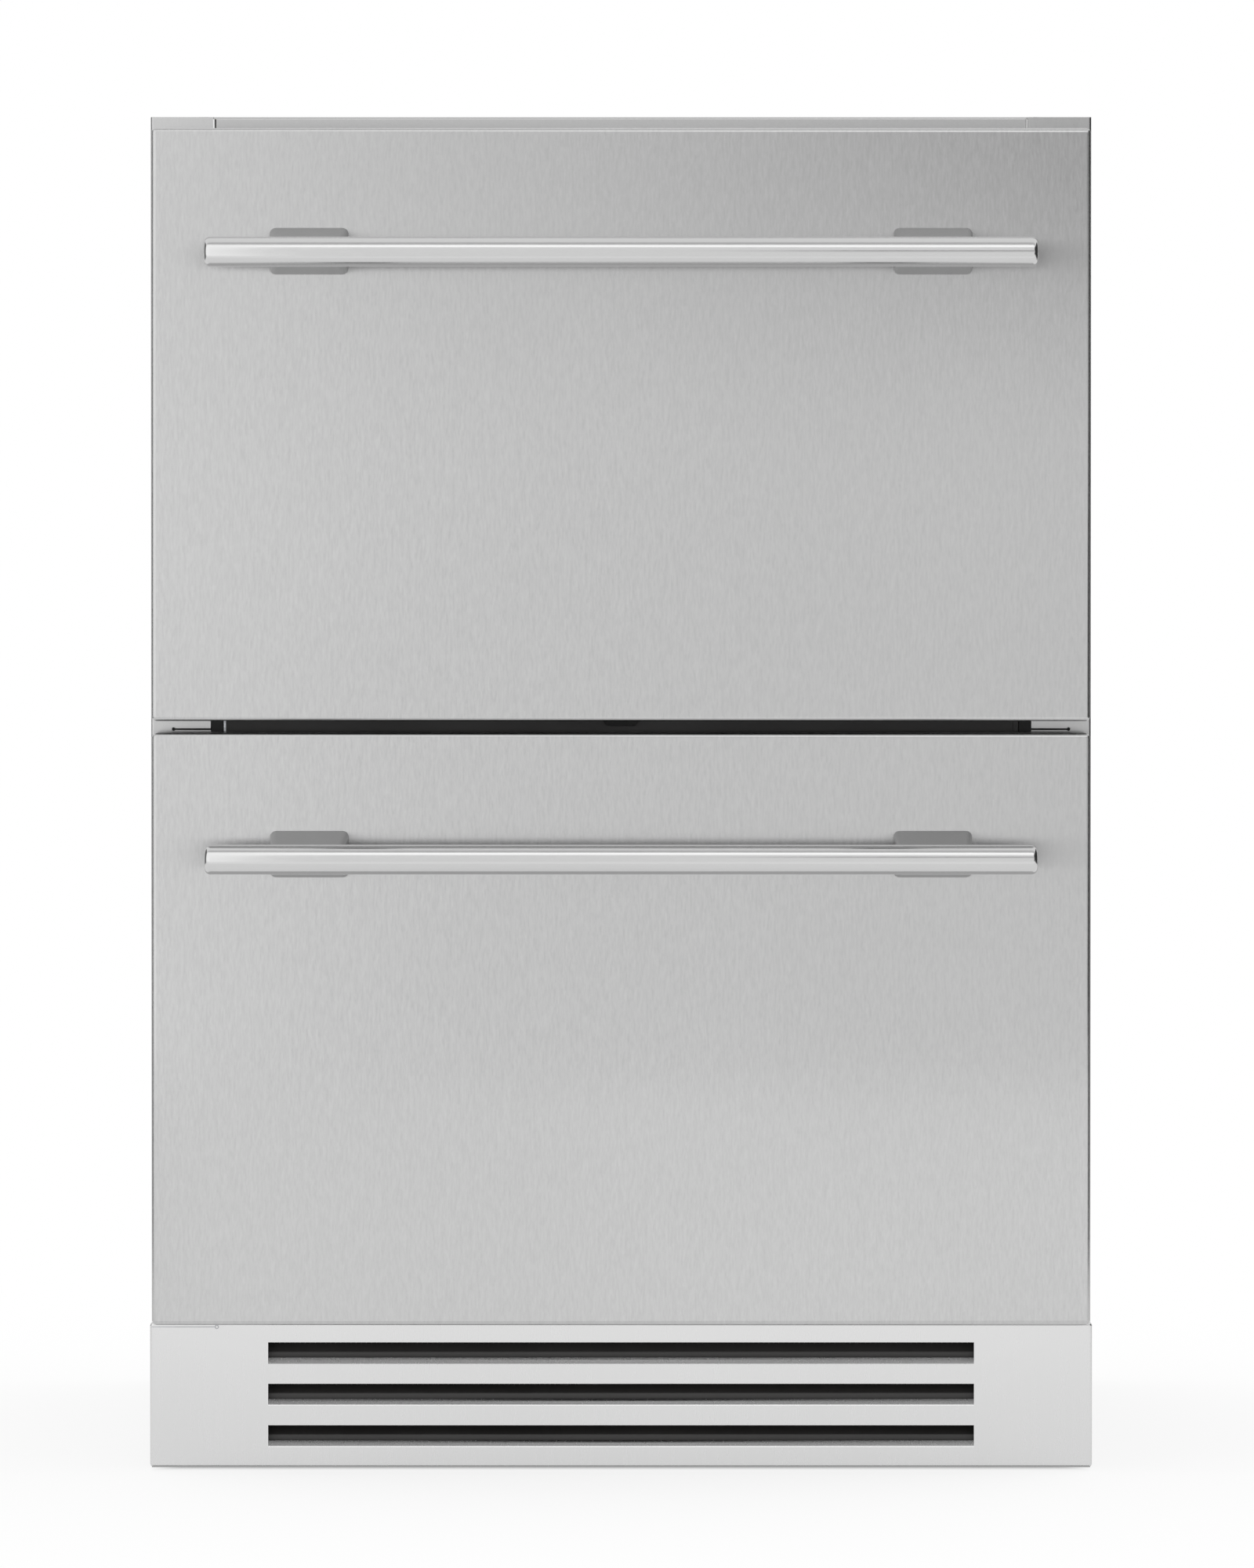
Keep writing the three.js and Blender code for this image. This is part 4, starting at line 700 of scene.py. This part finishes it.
def finned_coil(name, node, half, front, back, bottom, height, rows, pitch, look, tail):
    """Aluminium fins on a serpentine tube in two layers, with steel end plates. tail is the tube's
    way on from its last row, in millimetres."""
    bm = bmesh.new()
    count = int(2 * half / pitch)
    sheet = 0.24
    for i in range(count + 1):
        x = -half + 1 + (2 * half - 2 - sheet) * i / count
        add_box(bm, at(x, front + 0.5, bottom + 0.5), at(x + sheet, back - 0.5, bottom + height - 0.5))
    piece(f"{name}_fins", bm, "cabinet", "coil_aluminium", [node])

    bm = bmesh.new()
    for x in (-half - 0.6, half - 0.6):
        add_box(bm, at(x, front, bottom), at(x + 1.2, back, bottom + height))
    piece(f"{name}_end_plates", bm, "cabinet", "galvanized", edge=0.3)

    tube = 3.5
    rise = height / rows
    reach = half + rise / 2 + tube
    layers = (front + (back - front) * 0.27, front + (back - front) * 0.73)
    bm = bmesh.new()
    for y in layers:
        side = 1
        points = []
        for row in range(rows):
            z = bottom + rise * (row + 0.5)
            first = row == 0
            last = row == rows - 1
            points.append(at(-side * (half + 4 if first else reach), y, z))
            points.append(at(side * (half + 4 if last else reach), y, z))
            side = -side
        add_tube(bm, points, tube, bend=2.6)
    add_tube(bm, [at(*point) for point in tail], tube, bend=3.5)
    piece(f"{name}_tubes", bm, "cabinet", look)


def refrigeration():
    pan_top = extent("condensate_tray")[0].z
    compressor_low, compressor_high = extent("compressor")
    bay_middle = (compressor_low.y + compressor_high.y) / 2
    condenser_half, condenser_height = 232.0, 76.0
    discharge_x = extent("condenser_coil")[1].x - 3.5
    leaving_y, leaving_z = 33, pan_top + 66.5
    compressor_x, discharge_z = 155.5, 118.0
    finned_coil(
        "condenser", "condenser_coil", condenser_half, 14.0, 52.0, pan_top, condenser_height, 4, 3.3,
        "black_enamel",
        [
            (condenser_half + 1, leaving_y, leaving_z), (discharge_x, leaving_y, leaving_z),
            (discharge_x, bay_middle, leaving_z), (discharge_x, bay_middle, discharge_z),
            (compressor_x, bay_middle, discharge_z),
        ],
    )
    low, high = extent("evaporator_coil")
    suction_x = high.x - 4
    coil_back = extent("inner_liner")[1].y - 1.1
    coil_front = coil_back - 40
    coil_half, coil_height = 170.0, 170.0
    coil_bottom = high.z - coil_height
    leaving_y, leaving_z = coil_back - 20, coil_bottom + 14
    return_x, return_z = 115, 245
    finned_coil(
        "evaporator", "evaporator_coil", coil_half, coil_front, coil_back, coil_bottom, coil_height, 6, 6.0,
        "copper",
        [
            (coil_half + 1, leaving_y, leaving_z), (suction_x, leaving_y, leaving_z),
            (suction_x, leaving_y, return_z), (return_x, bay_middle, return_z),
            (return_x, bay_middle, low.z + 3),
        ],
    )


def fan(name, node, body, hub_radius, blades):
    """An axial rotor whose blades are swept, twisted and slightly cambered."""
    low, high = extent(node)
    radius = (high.x - low.x) / 2
    x0, z0 = (low.x + high.x) / 2, (low.z + high.z) / 2
    depth = high.y - low.y
    bm = bmesh.new()
    hub = [
        (0, 0), (2.4, 0), (2.4, depth * 0.7), (hub_radius - 1.4, depth * 0.7), (hub_radius - 1.4, 0.2),
        (hub_radius, 0), (hub_radius, depth - 3), (hub_radius - 2.4, depth - 0.6), (0, depth),
    ]
    add_turned(bm, hub, facing((0, -1, 0), at(x0, high.y, z0)), 40)
    for blade in range(blades):
        start = 2 * math.pi * blade / blades
        grid = []
        for i in range(9):
            t = i / 8
            reach = hub_radius - 0.5 + (radius - 0.6 - hub_radius) * t
            width = math.radians(56 - 8 * t)
            sweep = math.radians(16 * t * t)
            row = []
            for j in range(7):
                u = j / 6 - 0.5
                angle = start + sweep + width * u
                camber = 1.6 * (1 - 4 * u * u)
                y = (low.y + high.y) / 2 + (depth - 5 - 2.5 * t) * u - camber
                row.append(at(x0 + reach * math.cos(angle), y, z0 + reach * math.sin(angle)))
            grid.append(row)
        add_sheet(bm, grid, 1.2)
    piece(name, bm, body, "black_plastic", [node], crease=40)


refrigeration()
for place in ("condenser", "evaporator"):
    fan(f"{place}_blades", f"{place}_fan", f"{place}_rotor", hub_radius=14.0, blades=5)


# ---------------------------------------------------------------- feet and fasteners


def levelling_foot(corner):
    """A glide with a soft sole, a hexagon and a threaded stud."""
    node = f"{corner}_foot"
    low, high = extent(node)
    x, y = (low.x + high.x) / 2, (low.y + high.y) / 2
    body = f"{corner}_leveller"
    origin = facing((0, 0, 1), at(x, y, 0))
    bm = bmesh.new()
    add_turned(bm, [(0, 0), (14.4, 0), (15.6, 0.5), (16, 1.6), (16, 2.6), (0, 2.6)], origin, 40)
    piece(f"{corner}_sole", bm, body, "grommet")

    bm = bmesh.new()
    add_turned(bm, [(0, 2.65), (15.4, 2.65), (15.2, 3.6), (12, 5.2), (9, 5.9), (0, 5.9)], origin, 40)
    add_turned(bm, [(0, 5.6), (8, 5.6), (9, 6.1), (9, 9.2), (8, 9.7), (0, 9.7)], origin, 6)
    thread = [(0, 9.4), (4.9, 9.4)]
    pitch = 1.5
    z = 9.6
    while z + pitch < high.z - 1:
        thread += [(4.9, z + 0.25 * pitch), (4.25, z + 0.6 * pitch), (4.9, z + 0.95 * pitch)]
        z += pitch
    thread += [(4.9, high.z - 1), (3.9, high.z), (0, high.z)]
    add_turned(bm, thread, origin, 24)
    piece(f"{corner}_stud", bm, body, "slide_steel", [node])


def back_beads():
    """Stiffening beads pressed into the back panel above its air slots."""
    back = extent("back_panel")[1].y
    reach = 205.0
    levels = (400, 500, 600, 700)
    section = ((7.0, 0.02), (6.2, 0.5), (4.6, 1.1), (2.6, 1.4))  # half height, and how far it stands out
    bm = bmesh.new()
    for z in levels:
        rings = []
        for half, out in section:
            ring = []
            for i in range(24):
                angle = math.pi * (i + 0.5) / 12 - math.pi / 2
                end = reach if i < 12 else -reach
                ring.append(bm.verts.new(at(
                    end + half * math.cos(angle), back + out, z + half * math.sin(angle),
                )))
            rings.append(ring)
        for first, second in zip(rings, rings[1:]):
            bridge(bm, first, second)
        bm.faces.new(rings[0])
        bm.faces.new(rings[-1])
    piece("back_panel_beads", bm, "cabinet", "galvanized", crease=60)


def back_screws():
    low, high = extent("back_panel")
    inset, bottom_inset, head = 8.0, 16, 4.4
    bm = bmesh.new()
    for z in (60, 170, 300, 430, 560, 690, 800):
        for x in (low.x + inset, high.x - inset):
            add_screw(bm, at(x, high.y, z), (0, 1, 0), head)
    for x in (-220, -75, 75, 220):
        for z in (low.z + bottom_inset, high.z - inset):
            add_screw(bm, at(x, high.y, z), (0, 1, 0), head)
    piece("back_panel_screws", bm, "cabinet", "slide_steel")


def cover_screws():
    low, high = extent("evaporator_cover")
    bm = bmesh.new()
    for x in (low.x + 12, 0, high.x - 12):
        for z in (low.z + 10, high.z - 10):
            add_screw(bm, at(x, low.y, z), (0, -1, 0))
    for x in (low.x + 12, high.x - 12):
        add_screw(bm, at(x, low.y, (low.z + high.z) / 2), (0, -1, 0))
    piece("evaporator_cover_screws", bm, "cabinet", "slide_steel")


def control_box_screws():
    low, high = extent("control_box")
    bm = bmesh.new()
    for x in (low.x + 8, high.x - 8):
        for z in (low.z + 8, high.z - 8):
            add_screw(bm, at(x, high.y, z), (0, 1, 0), 2.8)
    piece("control_box_screws", bm, "cabinet", "slide_steel")


def compressor_mounts():
    """A rubber bush and a bolt at each corner of the compressor's foot plate, and the filling stub."""
    low, high = extent("compressor")
    x0, y0 = 95.0, (low.y + high.y) / 2
    bolt_x, bolt_y = 75, 45
    plate_top = low.z + 3
    bushes = bmesh.new()
    bolts = bmesh.new()
    for x in (x0 - bolt_x, x0 + bolt_x):
        for y in (y0 - bolt_y, y0 + bolt_y):
            origin = facing((0, 0, 1), at(x, y, plate_top + 0.05))
            add_turned(bushes, [
                (0, 0), (8.6, 0), (9.2, 0.8), (9.2, 2.4), (7.2, 3.2), (7.2, 4.2), (8.6, 5), (8.6, 7),
                (7.8, 7.8), (0, 7.8),
            ], origin, 32)
            add_turned(bolts, [(0, 7.9), (7, 7.9), (7, 9), (0, 9)], origin, 32)
            add_turned(bolts, [(0, 9), (4.6, 9), (5.2, 9.5), (5.2, 12.4), (4.4, 13), (0, 13)], origin, 6)
    piece("compressor_bushes", bushes, "cabinet", "grommet")
    piece("compressor_bolts", bolts, "cabinet", "slide_steel")
    bm = bmesh.new()
    stub_y, stub_z = y0 - 20, plate_top + 42
    add_tube(bm, [
        at(x0 + 56, stub_y, stub_z), at(x0 + 76, stub_y, stub_z), at(x0 + 76, stub_y, stub_z + 34),
    ], 3.0)
    piece("filling_stub", bm, "cabinet", "copper")


def dial_marks():
    """Plain marks round the thermostat's knob, growing with the setting."""
    low, high = extent("thermostat_knob")
    face = extent("thermostat_housing")[0].y
    x0, z0 = (low.x + high.x) / 2, (low.z + high.z) / 2
    reach, half, spacing, tallest = 10.6, 0.16, 2.6, 10.4
    first_angle, step = 200, 36.7
    bm = bmesh.new()
    for i in range(7):
        angle = math.radians(first_angle - step * i)
        for along in range(i + 1):
            spread = math.radians((along - i / 2) * spacing)
            x = x0 + reach * math.cos(angle + spread)
            z = z0 + reach * math.sin(angle + spread)
            if abs(z - z0) < tallest:
                add_box(bm, at(x - half, face - 0.06, z - half), at(x + half, face + 0.02, z + half))
    piece("thermostat_marks", bm, "cabinet", "lens")


def light_end_caps():
    low, high = extent("light_bar")
    length, gap, wall = 5, 0.1, 0.8
    bm = bmesh.new()
    for x0, x1 in ((low.x - length, low.x - gap), (high.x + gap, high.x + length)):
        add_box(bm, at(x0, low.y - wall, low.z - wall), at(x1, high.y + wall, high.z))
    piece("light_end_caps", bm, "cabinet", "grey_plastic", edge=0.8)


for corner in ("front_left", "front_right", "back_left", "back_right"):
    levelling_foot(corner)
back_beads()
back_screws()
cover_screws()
control_box_screws()
compressor_mounts()
dial_marks()
light_end_caps()


# ---------------------------------------------------------------- stage, light and camera


class Tree:
    """A node tree of the world, the floor or a board, built in short calls."""

    def __init__(self, owner):
        owner.use_nodes = True
        self.tree = owner.node_tree
        self.tree.nodes.clear()

    def node(self, kind, inputs=(), **settings):
        node = self.tree.nodes.new(kind)
        for key, value in settings.items():
            setattr(node, key, value)
        for index, value in inputs:
            if isinstance(value, bpy.types.NodeSocket):
                self.tree.links.new(value, node.inputs[index])
            else:
                node.inputs[index].default_value = value
        return node.outputs

    def seen_directly(self):
        """1 for rays of the camera, of mirrors and of glass, 0 for those that light the object."""
        path = self.node("ShaderNodeLightPath")
        shiny = self.node("ShaderNodeMath", (
            (0, path["Is Glossy Ray"]), (1, path["Is Transmission Ray"]),
        ), operation="MAXIMUM")
        return self.node("ShaderNodeMath", (
            (0, path["Is Camera Ray"]), (1, shiny[0]),
        ), operation="MAXIMUM")[0]


WHITE = (1, 1, 1, 1)


def backdrop_floor():
    """A pale floor that goes over into the white background and keeps the object's shadow."""
    # the floor doesn't glow under the cabinet, and its glow fades in between these
    under_x, beside_x = 0.27, 0.3
    under_y, before_y = -0.22, -0.245
    bm = bmesh.new()
    add_box(bm, Vector((-12, -12, -0.02)), Vector((12, 14, -0.0005)))
    mesh = bpy.data.meshes.new("floor")
    bm.to_mesh(mesh)
    bm.free()
    floor = bpy.data.objects.new("floor", mesh)
    scene.collection.objects.link(floor)
    material = bpy.data.materials.new("floor_white")
    tree = Tree(material)
    paint = tree.node("ShaderNodeBsdfDiffuse", ((0, (0.86, 0.86, 0.86, 1)),))
    glow = tree.node("ShaderNodeEmission", ((0, WHITE), (1, 1.0)))
    place = tree.node("ShaderNodeTexCoord")["Object"]
    near = tree.node("ShaderNodeMapping", ((0, place), (3, (0.9, 0.9, 0.9))))[0]
    nearness = tree.node("ShaderNodeTexGradient", ((0, near),), gradient_type="SPHERICAL")["Fac"]
    open_floor = tree.node("ShaderNodeMapRange", ((0, nearness), (1, 0.0), (2, 0.7), (3, 1.0), (4, 0.8)))[0]
    spot = tree.node("ShaderNodeSeparateXYZ", ((0, place),))
    aside = tree.node("ShaderNodeMath", ((0, spot["X"]),), operation="ABSOLUTE")[0]
    clear_x = tree.node("ShaderNodeMapRange", ((0, aside), (1, under_x), (2, beside_x)))[0]
    clear_y = tree.node("ShaderNodeMapRange", ((0, spot["Y"]), (1, under_y), (2, before_y)))[0]
    clear = tree.node("ShaderNodeMath", ((0, clear_x), (1, clear_y)), operation="MAXIMUM")[0]
    shadow = tree.node("ShaderNodeMath", ((0, open_floor), (1, clear)), operation="MULTIPLY")[0]
    share = tree.node("ShaderNodeMath", ((0, tree.seen_directly()), (1, shadow)), operation="MULTIPLY")
    mixed = tree.node("ShaderNodeMixShader", ((0, share[0]), (1, paint[0]), (2, glow[0])))
    tree.node("ShaderNodeOutputMaterial", ((0, mixed[0]),))
    mesh.materials.append(material)


def softbox(name, place, target, size, power):
    """A soft lamp that isn't mirrored, since it would add to the white world behind it and clip."""
    light = bpy.data.lights.new(name, "AREA")
    light.shape = "RECTANGLE"
    light.size, light.size_y = size
    light.energy = power
    obj = bpy.data.objects.new(name, light)
    obj.location = place
    obj.rotation_euler = (Vector(target) - Vector(place)).to_track_quat("-Z", "Y").to_euler()
    obj.visible_glossy = False
    scene.collection.objects.link(obj)


def board(name, corner, across, up, value, fade=None):
    """A board that only reflections see, as the flags and reflectors of a studio. fade gives the
    shares of its width and height over which it comes in from plain white."""
    corner, across, up = Vector(corner), Vector(across), Vector(up)
    bm = bmesh.new()
    bm.faces.new([bm.verts.new(p) for p in (corner, corner + across, corner + across + up, corner + up)])
    mesh = bpy.data.meshes.new(name)
    bm.to_mesh(mesh)
    bm.free()
    obj = bpy.data.objects.new(name, mesh)
    scene.collection.objects.link(obj)
    material = bpy.data.materials.new(name)
    tree = Tree(material)
    strength = value
    if fade is not None:
        place = tree.node("ShaderNodeSeparateXYZ", ((0, tree.node("ShaderNodeTexCoord")["Generated"]),))
        ramps = []
        for axis, share in zip(("X", "Z"), fade):
            ramps.append(tree.node("ShaderNodeMapRange", (
                (0, place[axis]), (1, 0.0), (2, share), (3, 0.0), (4, 1.0),
            ), interpolation_type="SMOOTHSTEP")[0])
        depth = tree.node("ShaderNodeMath", ((0, ramps[0]), (1, ramps[1])), operation="MULTIPLY")[0]
        strength = tree.node("ShaderNodeMapRange", ((0, depth), (1, 0.0), (2, 1.0), (3, 1.0), (4, value)))[0]
    glow = tree.node("ShaderNodeEmission", ((0, WHITE), (1, strength)))
    tree.node("ShaderNodeOutputMaterial", ((0, glow[0]),))
    mesh.materials.append(material)
    obj.visible_camera = False
    obj.visible_diffuse = False
    obj.visible_shadow = False
    obj.visible_transmission = False


def studio():
    world = bpy.data.worlds.new("studio")
    scene.world = world
    tree = Tree(world)
    room = tree.node("ShaderNodeBackground", ((0, WHITE), (1, 0.8)))
    white = tree.node("ShaderNodeBackground", ((0, WHITE), (1, 1.0)))
    mixed = tree.node("ShaderNodeMixShader", ((0, tree.seen_directly()), (1, room[0]), (2, white[0])))
    tree.node("ShaderNodeOutputWorld", ((0, mixed[0]),))
    ceiling, lamp_y = 2.6, 0.34
    softbox("overhead", (0, lamp_y, ceiling), (0, lamp_y, 0), (3.4, 2.32), 40)
    wide, flag_height = (4.0, 0, 0), (0, 0, 1.8)
    board("ceiling_grey", (-2.0, -1.75, ceiling), wide, (0, 0.93, 0), 0.66)
    board("ceiling_strip", (-2.0, -3.13, ceiling), wide, (0, 1.38, 0), 1.6)
    board("left_reflector", (-2.2, -0.9, 0.0), (1.78, -0.5, 0), (0, 0, 2.2), 1.38)
    board("left_flag", (-1.7, -0.6, 0.0), (0, 1.6, 0), flag_height, 0.2)
    board("right_flag", (1.7, -2.1, 0.0), (0, 3.1, 0), flag_height, 0.05)
    board("upper_right", (0.08, -1.6, 0.62), (1.6, 0, 0), (0, 0, 0.36), 0.44, (0.15, 0.9))
    board("low_reflector", (-2.0, -1.0, 0.0), wide, (0, 0, 0.2), 1.1)


IMAGE_HEIGHT = 2000  # of the photograph, in pixels, as the two values below
FOCAL_LENGTH = 11480
MIDDLE_SHIFT = 7.6  # from the picture's middle to the line of sight
CAMERA_PLACE = (0.0, -6.02675, 0.6425)
DOWNWARD_TILT = 1.0  # degrees


def camera():
    data = bpy.data.cameras.new("camera")
    data.sensor_width = 36.0
    data.lens = FOCAL_LENGTH / IMAGE_HEIGHT * data.sensor_width
    data.shift_x = MIDDLE_SHIFT / IMAGE_HEIGHT
    data.shift_y = -0.0998
    data.clip_start, data.clip_end = 0.1, 60.0
    obj = bpy.data.objects.new("camera", data)
    obj.location = CAMERA_PLACE
    obj.rotation_euler = (math.radians(90.0 - DOWNWARD_TILT), 0.0, 0.0)
    scene.collection.objects.link(obj)
    scene.camera = obj


backdrop_floor()
studio()
camera()

scene.view_settings.view_transform = "Standard"
